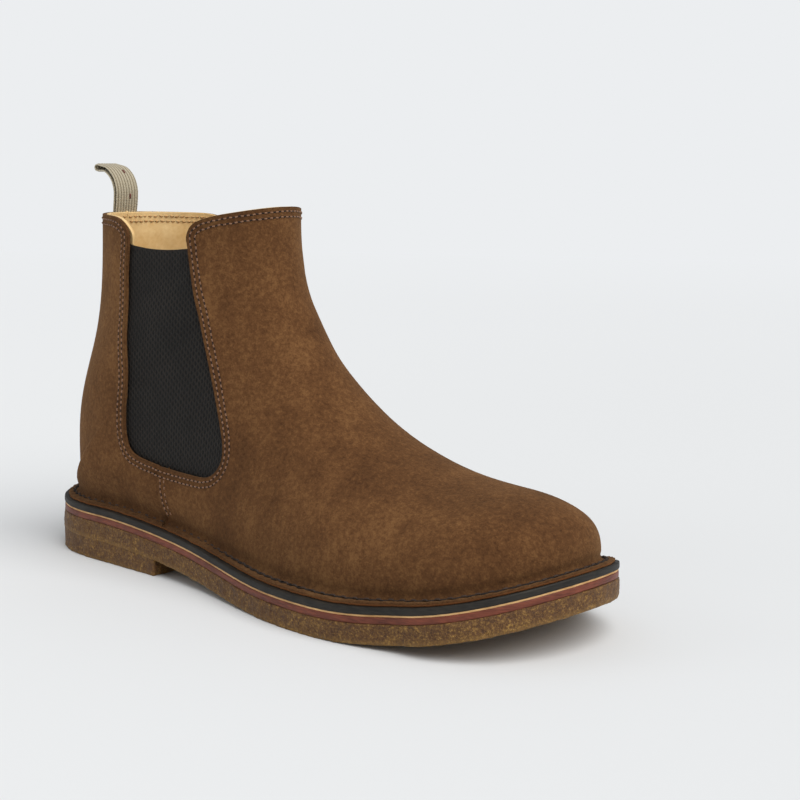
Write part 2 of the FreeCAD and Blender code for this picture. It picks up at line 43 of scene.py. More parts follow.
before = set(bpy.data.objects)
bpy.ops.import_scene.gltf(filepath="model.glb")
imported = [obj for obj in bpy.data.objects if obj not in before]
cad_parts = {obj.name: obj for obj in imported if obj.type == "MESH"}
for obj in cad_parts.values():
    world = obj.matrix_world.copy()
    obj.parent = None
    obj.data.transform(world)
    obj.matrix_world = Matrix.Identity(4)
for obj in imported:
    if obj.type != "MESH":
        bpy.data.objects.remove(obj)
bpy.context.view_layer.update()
MM = 0.001
RNG = np.random.default_rng(7)

# ---- sizes of the boot, in millimetres ----------------------------------------------------------
HEEL_STACK = 25.0
FORE_STACK = 15.3
TOE_SPRING = 17.0
HEEL_FLAT_END = 50.0
BALL_START = 180.0
BALL_END = 205.0
WELT_T = 3.0
NATURAL_T = 0.8
MIDSOLE_T = 2.9
CREPE_T = FORE_STACK - WELT_T - NATURAL_T - MIDSOLE_T
HEEL_BREAST = 92.0
SUEDE_T = 1.8
LINING_T = 1.0
FLANGE_OUT = 6.8
SOLE_OUT = 8.8
INSOLE_IN = 4.5
INSOLE_T = 2.4
SOCK_T = 2.0
COLLAR_BACK_Z = 162.0
LOOP_W = 13.4
SHANK_X = 62.0
GORE_TOP = 150.5

OUTER_HALF = ((0, 28.5), (40, 30.5), (80, 31.8), (115, 34), (145, 40), (175, 47.5),
              (205, 51), (235, 47.5), (255, 41))
INNER_HALF = ((0, 30), (40, 31.5), (80, 29), (115, 27.5), (145, 31.5), (175, 38.5),
              (205, 44), (235, 45), (255, 42.5))
HEEL_X = 9.0
HEEL_ROUND = 42.0
HEEL_POWER = 2.2
HANDLE = 0.5523
SOLE_SECTIONS = (
    (243, (294.5, None), 45.4, 44.8, 0.12, 4.5),
    (240.5, (296.0, 34.0), 46.6, 45.3, 0.12, 4.5),
    (237, (295.8, 41.8), 47.7, 46.0, 0.12, 4.5),
    (232.5, (289.5, 51.3), 48.5, 46.6, 0.13, 4.3),
    (226, (272.0, 57.5), 49.7, 47.0, 0.14, 4.0),
    (217, (252.5, 59.5), 50.9, 47.3, 0.15, 3.5),
    (203, (231.0, 62.3), 51.6, 47.0, 0.16, 3.0),
    (185, (208.7, 68.8), 50.3, 45.5, 0.17, 2.5),
    (162, (187.6, 79.2), 46.2, 43.0, 0.18, 2.0),
    (136, (169.3, 92.8), 42.2, 40.6, 0.20, 2.0),
    (106, (155.8, 107.0), 39.4, 38.8, 0.25, 1.0),
    (73, (147.0, 121.0), 38.8, 38.4, 0.30, 1.0),
    (40, (141.3, 132.8), 39.4, 39.0, 0.35, 0.0),
    (HEEL_X, (138.3, 143.6), 39.4, 39.2, 0.40, 0.0),
)
BACK_SECTIONS = (
    ((8.0, 62.0), (136.8, 153.5), 37.4, 37.2, 0.43, 0.0),
    ((17.5, 100.0), (136.6, 163.1), 33.7, 33.6, 0.45, 0.0),
    ((22.5, 138.0), (136.4, 172.6), 33.4, 33.4, 0.46, 0.0),
    ((24.0, 176.0), (136.3, 182.6), 34.8, 34.8, 0.46, 0.0),
)
CORNER = len(SOLE_SECTIONS) - 1
LAST = CORNER + len(BACK_SECTIONS)

COLLAR_REAR = ((10, 162.5), (34, 162.2), (54, 161.8), (62, 159.3), (65.8, 155))
GORE_REAR = ((66, GORE_TOP), (64.6, 134), (67, 112), (70.6, 92), (70, 74), (70.6, 62))
GORE_FOOT = ((75, 54.8), (90, 51.5), (108, 50), (124, 50.5))
GORE_FRONT = ((131.5, 56.5), (132, 65), (126, 80), (118, 99), (110, 120), (104, 140),
              (102, GORE_TOP))
COLLAR_FRONT = ((101.6, 155), (104.5, 160.2), (112, 163.6), (124, 166.3), (140, 169.5), (170, 175))
SIDE_SEAM = ((92.5, 54), (92, 44), (93, 34), (97, 24))
UPPER_EDGE = COLLAR_REAR + GORE_REAR + GORE_FOOT + GORE_FRONT + COLLAR_FRONT

# ---- sizes of the detail, in millimetres --------------------------------------------------------
MIDDLE_TOP = 1.9         # depth of the layer between suede and lining, and where it ends
MIDDLE_END = 3.0
LINING_TOP = 3.1         # depth of the lining, 0.1 closer to the suede than in the CAD model
EDGE_ROUND = 0.35        # how far a panel's cut edge is rounded off
WALL_T = 1.6             # thickness of the suede where it turns out
PUCKER = 0.20            # rise and fall of the flange between two welt stitches
FLANGE_RINGS = 17        # vertices from the wall round the flange and back
WALL_FOOT = 6.0          # the flange's bend starts this high over the feather plane
BEND_R = 2.8             # inner radius of the bend
LINING_FOOT = 3.2        # the linings end this high over the feather plane
SEAM_LAP = 6.0           # the quarter runs this far under the vamp
STITCH_ROWS = (2.0, 4.4) # distance of the stitch rows from the suede's edges, and inside
LINING_ROWS = (2.2, 4.6)
STITCH_PITCH = 2.6       # length of a stitch with its gap, in the upper and in the welt
WELT_PITCH = 5.4
STRIP_HALF = 3.5         # half the back strip's width, and its thickness
STRIP_T = 0.95
GORE_T = 0.95
WELT_ROW = 3.2           # the welt stitches lie this far inside the flange's edge
SEAM_TOP = 52.0          # height where the side seam meets the gore's window
FINE = 0.8               # spacing of points on the upper's outlines
COARSE = 1.5             # spacing of vertices on panel borders and sole edges
CAP_INSET = 1.2          # the flat of a sole layer starts this far inside its edge
CAP_GRID = 7.0           # vertex spacing on that flat
LOOP_STEP = 0.45         # vertex spacing along the webbing
LOOP_T = 1.2             # thickness of the webbing
LOOP_GAP = 0.75          # space between its two layers
LOOP_RIBS = 8
HOLE_SIDES = 10


def smoothstep(x):
    x = np.clip(x, 0.0, 1.0)
    return x * x * (3 - 2 * x)


def unit(vectors):
    return vectors / np.maximum(np.linalg.norm(vectors, axis=-1, keepdims=True), 1e-9)


def travelled(line):
    """Distance along a line at each of its points."""
    return np.concatenate(([0], np.cumsum(np.linalg.norm(np.diff(line, axis=0), axis=1))))


def read_at(distance, along, table):
    """Rows of a table at some distances, between the distances that its rows stand at."""
    return np.column_stack([np.interp(distance, along, column) for column in table.T])


def evenly(line, step):
    along = travelled(line)
    count = max(2, int(round(along[-1] / step)) + 1)
    return read_at(np.linspace(0, along[-1], count), along, line)


def outward_plan(ring):
    """Outward directions of a closed outline in plan."""
    along = unit(np.roll(ring, -1, 0) - np.roll(ring, 1, 0))
    return np.column_stack((along[:, 1], -along[:, 0]))


def closed(ring):
    return np.vstack((ring, ring[:1]))


def spline(xs, ys):
    """Natural cubic spline through the points, as a function on arrays."""
    xs = np.array(xs, float)
    ys = np.array(ys, float)
    h = np.diff(xs)
    n = len(xs)
    matrix = np.eye(n)
    right = np.zeros(n)
    for i in range(1, n - 1):
        matrix[i, i - 1:i + 2] = h[i - 1], 2 * (h[i - 1] + h[i]), h[i]
        right[i] = 6 * ((ys[i + 1] - ys[i]) / h[i] - (ys[i] - ys[i - 1]) / h[i - 1])
    bend = np.linalg.solve(matrix, right)

    def value(x):
        i = np.clip(np.searchsorted(xs, x, side="left") - 1, 0, n - 2)
        a = x - xs[i]
        b = xs[i + 1] - x
        curve = (bend[i] * b ** 3 + bend[i + 1] * a ** 3) / (6 * h[i])
        return (curve + (ys[i] / h[i] - bend[i] * h[i] / 6) * b
                + (ys[i + 1] / h[i] - bend[i + 1] * h[i] / 6) * a)
    return value


def feather_z(x):
    """Height of the plane where the upper turns out and the sole begins."""
    x = np.asarray(x, float)
    t = np.clip((x - HEEL_FLAT_END) / (BALL_START - HEEL_FLAT_END), 0, 1)
    rise = np.clip((x - BALL_END) / (300.0 - BALL_END), 0, None)
    return HEEL_STACK + (FORE_STACK - HEEL_STACK) * t * t * (3 - 2 * t) + TOE_SPRING * rise ** 2


HALF = {-1: spline(*zip(*OUTER_HALF)), 1: spline(*zip(*INNER_HALF))}


def feather_half(x, side):
    c = np.clip((HEEL_ROUND - x) / (HEEL_ROUND - HEEL_X), 0, 1)
    return HALF[side](x) * (1 - c ** HEEL_POWER) ** (1 / HEEL_POWER)


def section_table():
    rows = [((x, None), top, a, b, s, y) for x, top, a, b, s, y in SOLE_SECTIONS]
    rows += list(BACK_SECTIONS)
    number = np.arange(len(rows))
    back = rows[CORNER + 1:]
    back_z = [HEEL_STACK] + [row[0][1] for row in back]
    return {
        "sole_x": spline(number[:CORNER + 1], [row[0][0] for row in rows[:CORNER + 1]]),
        "back_z": spline(number[CORNER:], back_z),
        "back_x": spline(back_z, [HEEL_X] + [row[0][0] for row in back]),
        "top_x": spline(number, [row[1][0] for row in rows]),
        "top_z": spline(number, [row[1][1] or feather_z(row[1][0]) for row in rows]),
        -1: spline(number, [row[2] for row in rows]),
        1: spline(number, [row[3] for row in rows]),
        "widest": spline(number, [row[4] for row in rows]),
        "shift": spline(number, [row[5] for row in rows]),
    }


SECTION = section_table()


def section_ends(k):
    if k <= CORNER:
        low_x = SECTION["sole_x"](k)
        low = np.array((low_x, feather_z(low_x)))
    else:
        low_z = SECTION["back_z"](k)
        low = np.array((SECTION["back_x"](low_z), low_z))
    return low, np.array((SECTION["top_x"](k), SECTION["top_z"](k)))


def bezier(handles, t):
    handles = np.array(handles, float)
    t = t[:, None]
    m = 1 - t
    return (m ** 3 * handles[0] + 3 * m * m * t * handles[1]
            + 3 * m * t * t * handles[2] + t ** 3 * handles[3])


def half_section(k, side, count):
    """Points of one half section, evenly spaced from the foot to the top, and their shares."""
    low, top = section_ends(k)
    foot = float(feather_half(low[0], side)) if k < CORNER else 0.0
    wide = max(float(SECTION[side](k)), foot)
    widest = float(SECTION["widest"](k))
    ratio = foot / wide
    lower = ((0, foot), (0.4 * widest * ratio, foot + (wide - foot) * (HANDLE + (1 - HANDLE) * ratio)),
             (widest * (1 - HANDLE), wide), (widest, wide))
    upper = ((widest, wide), (widest + (1 - widest) * HANDLE, wide), (1, wide * HANDLE), (1, 0))
    t = np.linspace(0, 1, 25)
    fine = np.concatenate((bezier(lower, t), bezier(upper, t)[1:]))
    share, y = fine.T
    centre = float(SECTION["shift"](k)) * share * (1 - y / wide)
    line = np.column_stack((low[0] + (top[0] - low[0]) * share, centre + side * y,
                            low[1] + (top[1] - low[1]) * share))
    along = travelled(line)
    target = np.linspace(0, along[-1], count)
    return read_at(target, along, line), np.interp(target, along, share)


def row_stations():
    """Section numbers of the mesh rows, closer round the back of the heel."""
    heel = np.arange(1, 21) / 20
    return np.concatenate((
        np.arange(0, 10 * (CORNER - 1) + 1) / 10,
        CORNER - 1 + 0.35 * heel + 0.65 * np.sin(heel * math.pi / 2),
        CORNER + np.cumsum(np.linspace(0.022, 0.098, 10)),
        np.arange(10 * CORNER + 7, 10 * LAST + 1) / 10))


COLUMNS = 48             # mesh columns on one half section
ROW_K = row_stations()


def surface_table():
    rows = []
    shares = []
    for k in ROW_K:
        outer, share_outer = half_section(k, -1, COLUMNS + 1)
        inner, share_inner = half_section(k, 1, COLUMNS + 1)
        rows.append(np.concatenate((outer, inner[::-1][1:])))
        shares.append((share_outer, share_inner))
    return np.array(rows), np.array(shares)


SURFACE, SHARES = surface_table()
ENDS = np.array([section_ends(k) for k in ROW_K])


def surface_normals():
    normals = np.cross(np.gradient(SURFACE, axis=1), np.gradient(SURFACE, axis=0))
    back = ROW_K > CORNER + 1e-6
    across = SURFACE[:, 1] - SURFACE[:, -2]
    along = np.gradient(SURFACE[:, 0], axis=0)
    for column in (0, -1):
        normals[back, column] = np.cross(across, along)[back]
        normals[np.argmin(abs(ROW_K - CORNER)), column] = (-1, 0, 0)
    return unit(normals)


NORMALS = surface_normals()


def sample(table, where):
    """Table values at (row, column) places, in straight lines between the table's points."""
    r = np.clip(where[:, 0], 0, len(table) - 1.0001)
    c = np.clip(where[:, 1], 0, table.shape[1] - 1.0001)
    i = r.astype(int)
    j = c.astype(int)
    a = (r - i)[:, None]
    b = (c - j)[:, None]
    return ((table[i, j] * (1 - b) + table[i, j + 1] * b) * (1 - a)
            + (table[i + 1, j] * (1 - b) + table[i + 1, j + 1] * b) * a)


def surface_at(where, depth=0.0):
    """Points at a depth under the suede's outer surface. depth is a number or one per point."""
    normals = unit(sample(NORMALS, where))
    return sample(SURFACE, where) - normals * np.reshape(depth, (-1, 1)), normals


def locate(points, side):
    """(row, column) of side view places (x, z) on one side of the boot."""
    found = []
    span = ENDS[:, 1] - ENDS[:, 0]
    for x, z in points:
        turn = span[:, 0] * (z - ENDS[:, 0, 1]) - span[:, 1] * (x - ENDS[:, 0, 0])
        i = int(np.clip(np.argmax(turn <= 0) - 1, 0, len(ROW_K) - 2))
        a = float(np.clip(turn[i] / (turn[i] - turn[i + 1]), 0, 1))
        low, top = ENDS[i] * (1 - a) + ENDS[i + 1] * a
        share = np.clip((x - low[0]) / (top[0] - low[0]), 0, 1)
        pair = SHARES[:, 0 if side < 0 else 1]
        column = np.interp(share, pair[i] * (1 - a) + pair[i + 1] * a, np.arange(COLUMNS + 1))
        found.append((i + a, column if side < 0 else 2 * COLUMNS - column))
    return np.array(found)


def catmull(points, step):
    """Smooth curve through the points, evenly spaced."""
    points = np.array(points, float)
    padded = np.vstack((2 * points[0] - points[1], points, 2 * points[-1] - points[-2]))
    t = np.linspace(0, 1, 24, endpoint=False)[:, None]
    out = []
    for p0, p1, p2, p3 in zip(padded, padded[1:], padded[2:], padded[3:]):
        out.append(0.5 * (2 * p1 + (p2 - p0) * t + (2 * p0 - 5 * p1 + 4 * p2 - p3) * t ** 2
                          + (3 * p1 - p0 - 3 * p2 + p3) * t ** 3))
    return evenly(np.vstack(out + [points[-1:]]), step)


def offset_line(line, distance):
    """The line moved to its right hand side, seen with x to the right and z up."""
    along = unit(np.gradient(line, axis=0))
    return line + np.column_stack((along[:, 1], -along[:, 0])) * distance


def blurred(ring, reach=4.0):
    """A closed line's points averaged with their neighbours."""
    steps = np.arange(-12, 13)
    shares = np.exp(-0.5 * (steps / reach) ** 2)
    return sum(np.roll(ring, step, 0) * share for step, share in zip(steps, shares / shares.sum()))


def feather_line():
    """The feather line in plan, from the back of the heel over the outer side, closed."""
    x = np.concatenate((HEEL_X + (HEEL_ROUND - HEEL_X) * (1 - np.cos(np.linspace(0, math.pi / 2, 40))),
                        np.linspace(HEEL_ROUND, SOLE_SECTIONS[0][0], 100)[1:]))
    outer = np.column_stack((x, -feather_half(x, -1)))
    inner = np.column_stack((x, feather_half(x, 1)))
    toe = SURFACE[0][:, :2]
    ring = evenly(np.vstack((outer[:-1], toe, inner[::-1][1:])), COARSE)[:-1]
    soft = blurred(ring)
    return closed(soft + blurred(ring - soft))


FEATHER = feather_line()


def outline(out, step=COARSE):
    """The feather line moved outwards, in plan, closed (the last point repeats the first)."""
    line = FEATHER[:-1]
    return evenly(closed(line + outward_plan(line) * out), step)


# ---- mesh helpers -------------------------------------------------------------------------------


def row_shift():
    """From millimetres behind the outsole to the row frame: the shank lies on the middle line."""
    low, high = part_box("shank")
    return np.array((low.x - SHANK_X * MM, (low.y + high.y) / 2, 0.0))


SHIFT = row_shift()


def to_row(points):
    return np.asarray(points, float) * MM + SHIFT


def outward_faces(mesh):
    """Turns all faces of a closed skin outwards."""
    made = bmesh.new()
    made.from_mesh(mesh)
    bmesh.ops.recalc_face_normals(made, faces=made.faces)
    made.to_mesh(mesh)
    made.free()


def make_piece(name, vertices, faces, material):
    """A smooth mesh object from the millimetre vertices of a closed skin."""
    mesh = bpy.data.meshes.new(name)
    mesh.from_pydata([tuple(v) for v in to_row(vertices)], [], [tuple(f) for f in faces])
    mesh.update()
    mesh.validate()
    mesh.polygons.foreach_set("use_smooth", [True] * len(mesh.polygons))
    piece = bpy.data.objects.new(name, mesh)
    bpy.context.scene.collection.objects.link(piece)
    mesh.materials.append(material)
    outward_faces(mesh)
    return piece


def set_values(piece, name, values):
    """A named float on every vertex, for the materials."""
    piece.data.attributes.new(name, "FLOAT", "POINT").data.foreach_set(
        "value", np.asarray(values, np.float32))


def set_uv(piece, coordinates):
    """A UV map in millimetres, from one coordinate pair per vertex."""
    layer = piece.data.uv_layers.new(name="UVMap")
    index = np.zeros(len(piece.data.loops), int)
    piece.data.loops.foreach_get("vertex_index", index)
    layer.data.foreach_set("uv", np.asarray(coordinates, np.float32)[index].ravel())


def distance_to(points, line):
    """Distance of each point to a line of many points."""
    a = line[:-1]
    d = line[1:] - a
    best = np.full(len(points), 1e9)
    square = np.maximum((d ** 2).sum(1), 1e-12)
    for start in range(0, len(points), 4000):
        chunk = points[start:start + 4000, None]
        t = np.clip(((chunk - a) * d).sum(2) / square, 0, 1)
        gap = np.linalg.norm(chunk - a - d * t[..., None], axis=2)
        best[start:start + 4000] = gap.min(1)
    return best


def inside(points, polygon):
    """Which points lie inside a closed polygon."""
    x, y = points.T
    result = np.zeros(len(points), bool)
    for (x0, y0), (x1, y1) in zip(polygon, np.roll(polygon, -1, 0)):
        crosses = (y0 > y) != (y1 > y)
        if y0 != y1:
            result ^= crosses & (x < (x1 - x0) * (y - y0) / (y1 - y0) + x0)
    return result


def fill_region(border):
    """Triangles over a closed border in (row, column) places, with grid points inside."""
    rows, columns = np.meshgrid(np.arange(len(ROW_K)), np.arange(2 * COLUMNS + 1), indexing="ij")
    grid = np.column_stack((rows.ravel(), columns.ravel())).astype(float)
    grid = grid[inside(grid, border)]
    grid = grid[distance_to(grid, closed(border)) > 0.45]
    places = np.vstack((border, grid))
    ring = list(range(len(border)))
    made = geometry.delaunay_2d_cdt([Vector(p) for p in places], [], [ring], 1, 1e-6)
    return np.array([tuple(v) for v in made[0]]), [tuple(f) for f in made[2]]


def between_bands(bands):
    """Four-sided faces between closed rings of vertex numbers."""
    faces = []
    for high, low in zip(bands, bands[1:]):
        for quad in zip(high, low, np.roll(low, -1), np.roll(high, -1)):
            faces.append(tuple(int(v) for v in quad))
    return faces


def border_loops(faces):
    """Edges used by one face only, chained into closed loops of vertex numbers."""
    after = {}
    used = set()
    for face in faces:
        for a, b in zip(face, face[1:] + face[:1]):
            used.add((a, b))
    for a, b in used:
        if (b, a) not in used:
            after[a] = b
    loops = []
    while after:
        start, here = after.popitem()
        loop = [start]
        while here != start:
            loop.append(here)
            here = after.pop(here)
        loops.append(loop)
    return loops


def bars(starts, ends, lifts, radius, sag, sides=8, rings=7):
    """Thread stitches: round bars that dive into the leather at both ends."""
    vertices = []
    faces = []
    for a, b, lift in zip(starts, ends, lifts):
        side = np.cross(unit(b - a), lift)
        base = len(vertices)
        for i in range(rings):
            t = i / (rings - 1)
            centre = a + (b - a) * t - lift * sag * (2 * t - 1) ** 4
            size = radius * (1 - 0.55 * abs(2 * t - 1) ** 5)
            for j in range(sides):
                angle = 2 * math.pi * j / sides
                vertices.append(centre + (side * math.cos(angle) + lift * math.sin(angle)) * size)
        for i in range(rings - 1):
            for j in range(sides):
                k = (j + 1) % sides
                faces.append((base + i * sides + j, base + (i + 1) * sides + j,
                              base + (i + 1) * sides + k, base + i * sides + k))
        faces.append(tuple(base + j for j in range(sides)))
        faces.append(tuple(base + (rings - 1) * sides + j for j in reversed(range(sides))))
    return np.array(vertices), faces


# ---- materials ----------------------------------------------------------------------------------


def paint(r, g, b):
    """Linear colour from an sRGB one in 0 to 255."""
    values = [v / 255 for v in (r, g, b)]
    return tuple(v / 12.92 if v <= 0.04045 else ((v + 0.055) / 1.055) ** 2.4 for v in values) + (1,)


class Look:
    """One material, and short ways to add its nodes. Lengths are in metres."""

    def __init__(self, name, roughness, **sockets):
        self.material = bpy.data.materials.new(name)
        self.material.use_nodes = True
        self.tree = self.material.node_tree
        self.shader = self.tree.nodes["Principled BSDF"]
        self.shader.inputs["Roughness"].default_value = roughness
        for socket, value in sockets.items():
            self.shader.inputs[socket.replace("_", " ")].default_value = value
        self.place = self.tree.nodes.new("ShaderNodeTexCoord").outputs["Object"]

    def node(self, kind, inputs, **settings):
        node = self.tree.nodes.new("ShaderNode" + kind)
        for key, value in settings.items():
            setattr(node, key, value)
        for key, value in inputs.items():
            if isinstance(value, bpy.types.NodeSocket):
                self.tree.links.new(value, node.inputs[key])
            else:
                node.inputs[key].default_value = value
        return node

    def noise(self, size, detail=3.0, stretch=None):
        """Noise whose grains are about size across."""
        place = self.place
        if stretch:
            place = self.node("Mapping", {0: place, 3: stretch}).outputs[0]
        inputs = {"Vector": place, "Scale": 1 / size, "Detail": detail, "Roughness": 0.6}
        return self.node("TexNoise", inputs).outputs[0]

    def math(self, operation, a, b=0.0, clamp=False):
        return self.node("Math", {0: a, 1: b}, operation=operation, use_clamp=clamp).outputs[0]

    def ramp(self, factor, *stops):
        """Colours or numbers at places from 0 to 1, smoothly joined."""
        ramp = self.node("ValToRGB", {0: factor})
        elements = ramp.color_ramp.elements
        while len(elements) < len(stops):
            elements.new(0.5)
        for element, (at, value) in zip(elements, stops):
            element.position = at
            element.color = value if isinstance(value, tuple) else (value, value, value, 1)
        return ramp.outputs[0]

    def mix(self, factor, a, b, blend="MIX"):
        return self.node("Mix", {0: factor, 6: a, 7: b}, data_type="RGBA", blend_type=blend).outputs[2]

    def total(self, *parts):
        """Sum of (value, weight) parts."""
        result = self.math("MULTIPLY", *parts[0])
        for part in parts[1:]:
            result = self.math("ADD", result, self.math("MULTIPLY", *part))
        return result

    def value(self, name):
        return self.node("Attribute", {}, attribute_name=name).outputs["Fac"]

    def part_of(self, name, whole):
        """A vertex value as a share of its whole, at most 1."""
        return self.math("DIVIDE", self.value(name), whole, clamp=True)

    def coat(self, colour, height=None, distance=0.0, strength=0.0):
        """Colour and bump onto the shader."""
        self.tree.links.new(colour, self.shader.inputs["Base Color"])
        if height is not None:
            bump = self.node("Bump", {"Height": height, "Distance": distance, "Strength": strength})
            self.tree.links.new(bump.outputs[0], self.shader.inputs["Normal"])
        return self.material


def suede(name, dark, mid, light, with_edge=True):
    """Brushed suede: a fine nap over soft random tone, darker along its cut edges, and darker towards
    the foot, which is painted shade.
    """
    look = Look(name, 0.95, Sheen_Weight=0.30, Sheen_Roughness=0.5, Specular_IOR_Level=0.12,
                Sheen_Tint=paint(190, 150, 105))
    broad = look.noise(0.045, 2.0)
    brushed = look.noise(0.012, 4.0, (1.0, 1.0, 0.55))
    nap = look.noise(0.0019, 3.0)
    fibre = look.noise(0.0007, 2.0)
    tone = look.total((broad, 0.26), (brushed, 0.22), (nap, 0.30), (fibre, 0.22))
    colour = look.ramp(tone, (0.38, dark), (0.50, mid), (0.62, light))
    if with_edge:
        near = look.ramp(look.part_of("edge", 6.0),
                         (0.0, 0.50), (0.10, 0.80), (0.80, 0.84), (1.0, 1.0))
        colour = look.mix(1.0, colour, near, "MULTIPLY")
        # Painted shade: the suede darkens over its lowest 26 mm, towards the foot.
        height = look.part_of("low", 26.0)
        low = look.ramp(height, (0.0, 0.62), (0.10, 0.62), (0.30, 0.84), (1.0, 1.0))
        colour = look.mix(1.0, colour, low, "MULTIPLY")
        raw = look.ramp(height, (0.0, 0.85), (0.030, 0.85), (0.042, 0.0))
        colour = look.mix(raw, colour, paint(132, 82, 47))
    return look.coat(colour, look.total((nap, 0.9), (fibre, 0.7), (brushed, 1.2)), 0.0004, 0.8)


def gore_knit():
    """Black elastic with staggered rows of long narrow holes, coloured near-black as painted shade
    inside them, plain along its upper edge.
    """
    look = Look("gore_elastic_mat", 0.6, Specular_IOR_Level=0.25)
    uv = look.node("UVMap", {}).outputs[0]
    split = look.node("SeparateXYZ", {0: uv})
    column = look.math("DIVIDE", split.outputs[0], 1.55)
    whole = look.math("FLOOR", column)
    odd = look.math("MULTIPLY", look.math("MODULO", look.math("ABSOLUTE", whole), 2.0), 0.5)
    row = look.math("ADD", look.math("DIVIDE", split.outputs[1], 2.95), odd)
    across = look.math("SUBTRACT", look.math("FRACT", column), 0.5)
    along = look.math("SUBTRACT", look.math("FRACT", row), 0.5)
    reach = look.math("ADD", look.math("POWER", look.math("DIVIDE", across, 0.42), 2.0),
                      look.math("POWER", look.math("DIVIDE", along, 0.40), 2.0))
    thread = look.ramp(look.math("MULTIPLY", reach, 0.5, clamp=True), (0.20, 0.0), (0.62, 1.0))
    plain = look.ramp(look.part_of("edge", 6.0), (0.42, 1.0), (0.50, 0.0))
    thread = look.mix(plain, thread, paint(225, 225, 225))
    shade = look.noise(0.012, 2.0)
    # Painted shade: the holes are near-black for the shade inside them; the threads get a random tone.
    dark = paint(6, 5, 4)
    light = look.ramp(shade, (0.35, paint(27, 23, 19)), (0.65, paint(36, 31, 26)))
    rib = look.math("SINE", look.math("MULTIPLY", split.outputs[1], 9.0))
    return look.coat(look.mix(thread, dark, light), look.total((thread, 1.0), (rib, 0.06)),
                     0.0005, 0.9)


def leather(name, dark, light, roughness):
    """Smooth lining leather with a fine grain."""
    grain = 0.0016
    look = Look(name, roughness, Specular_IOR_Level=0.4)
    broad = look.noise(0.022, 3.0)
    fine = look.noise(grain, 3.0)
    cells = look.node("TexVoronoi", {"Vector": look.place, "Scale": 1 / grain}).outputs[0]
    colour = look.ramp(look.total((broad, 0.7), (fine, 0.3)), (0.36, dark), (0.62, light))
    return look.coat(colour, look.total((cells, 0.6), (fine, 1.0)), 0.00008, 0.6)


def crepe():
    """Raw crepe rubber: amber and brown clots, with a grainy skin."""
    look = Look("crepe_rubber_mat", 0.58, Specular_IOR_Level=0.4)
    clots = look.noise(0.0046, 4.0)
    specks = look.noise(0.0011, 3.0)
    grain = look.noise(0.0005, 2.0)
    tone = look.total((clots, 0.24), (specks, 0.46), (grain, 0.30))
    colour = look.ramp(tone, (0.38, paint(68, 41, 19)), (0.47, paint(94, 62, 29)),
                       (0.54, paint(113, 79, 37)), (0.63, paint(164, 126, 62)))
    low = look.ramp(look.part_of("low", 10.0), (0.0, 0.35), (0.25, 0.0))
    colour = look.mix(low, colour, paint(166, 128, 62))
    cells = look.node("TexVoronoi", {"Vector": look.place, "Scale": 520.0}).outputs[0]
    return look.coat(colour, look.total((cells, 0.8), (specks, 1.0), (grain, 1.0)), 0.0006, 0.9)


def layered_edge(name, dark, light, roughness):
    """A cut edge with fine streaks along the layer."""
    look = Look(name, roughness, Specular_IOR_Level=0.35)
    streaks = look.noise(0.0006, 3.0, (0.12, 0.12, 1.0))
    broad = look.noise(0.012, 3.0)
    colour = look.ramp(look.total((streaks, 0.6), (broad, 0.4)), (0.36, dark), (0.62, light))
    return look.coat(colour, streaks, 0.0002, 0.6)


def webbing():
    """Ribbed cotton webbing: the ribs are modelled, the yarns crossing them are bump, and painted
    shade darkens the hollows between the ribs.
    """
    look = Look("loop_webbing_mat", 0.9, Sheen_Weight=0.3, Specular_IOR_Level=0.2)
    split = look.node("SeparateXYZ", {0: look.node("UVMap", {}).outputs[0]})
    pick = look.math("SINE", look.math("MULTIPLY", split.outputs[1], 8.4))
    slant = look.math("SINE", look.total((split.outputs[0], 7.8), (split.outputs[1], 6.2)))
    yarn = look.total((pick, 0.10), (slant, 0.16))
    fuzz = look.noise(0.0008, 3.0)
    # Painted shade: the colour follows the rib height, darker in the hollows between ribs and lighter
    # on their crests.
    tone = look.total((look.value("rib_shade"), 0.6), (fuzz, 0.35), (yarn, 0.12))
    colour = look.ramp(tone, (0.10, paint(92, 80, 62)), (0.45, paint(150, 138, 114)),
                       (0.80, paint(190, 180, 156)))
    return look.coat(colour, look.math("ADD", yarn, fuzz), 0.0003, 0.8)


def simple(name, dark, light, roughness=0.6, size=0.001, depth=0.0001, **sockets):
    look = Look(name, roughness, **sockets)
    grain = look.noise(size, 3.0)
    return look.coat(look.ramp(grain, (0.35, dark), (0.65, light)), grain, depth, 0.6)


SUEDE = suede("brown_suede_mat", paint(70, 44, 25), paint(95, 63, 37), paint(123, 87, 53))
STRIP = suede("strip_suede_mat", paint(60, 39, 23), paint(78, 51, 30), paint(97, 66, 40), False)
GORE = gore_knit()
LINING = leather("lining_leather_mat", paint(224, 184, 122), paint(243, 212, 156), 0.46)
SOCK = leather("sock_leather_mat", paint(188, 146, 86), paint(216, 176, 112), 0.5)
CREPE = crepe()
WELT = layered_edge("dark_welt_mat", paint(19, 17, 14), paint(43, 39, 33), 0.6)
NATURAL = layered_edge("natural_leather_mat", paint(178, 132, 80), paint(226, 184, 128), 0.6)
MIDSOLE = layered_edge("red_leather_mat", paint(82, 38, 25), paint(126, 65, 45), 0.5)
WEBBING = webbing()
FIBRE = simple("insole_fibre_mat", paint(150, 118, 80), paint(182, 148, 104), 0.8)
STIFFENER = simple("stiffener_mat", paint(120, 104, 84), paint(150, 132, 108), 0.8)
STEEL = simple("shank_steel_mat", paint(120, 122, 126), paint(150, 152, 156), 0.35, 0.003, 0.00003,
               Metallic=1.0)
THREAD = simple("thread_mat", paint(108, 74, 48), paint(146, 104, 72), 0.6, 0.0003, 0.0001,
                Sheen_Weight=0.2)
LINING_THREAD = simple("lining_thread_mat", paint(176, 132, 84), paint(212, 172, 118), 0.6, 0.0003)
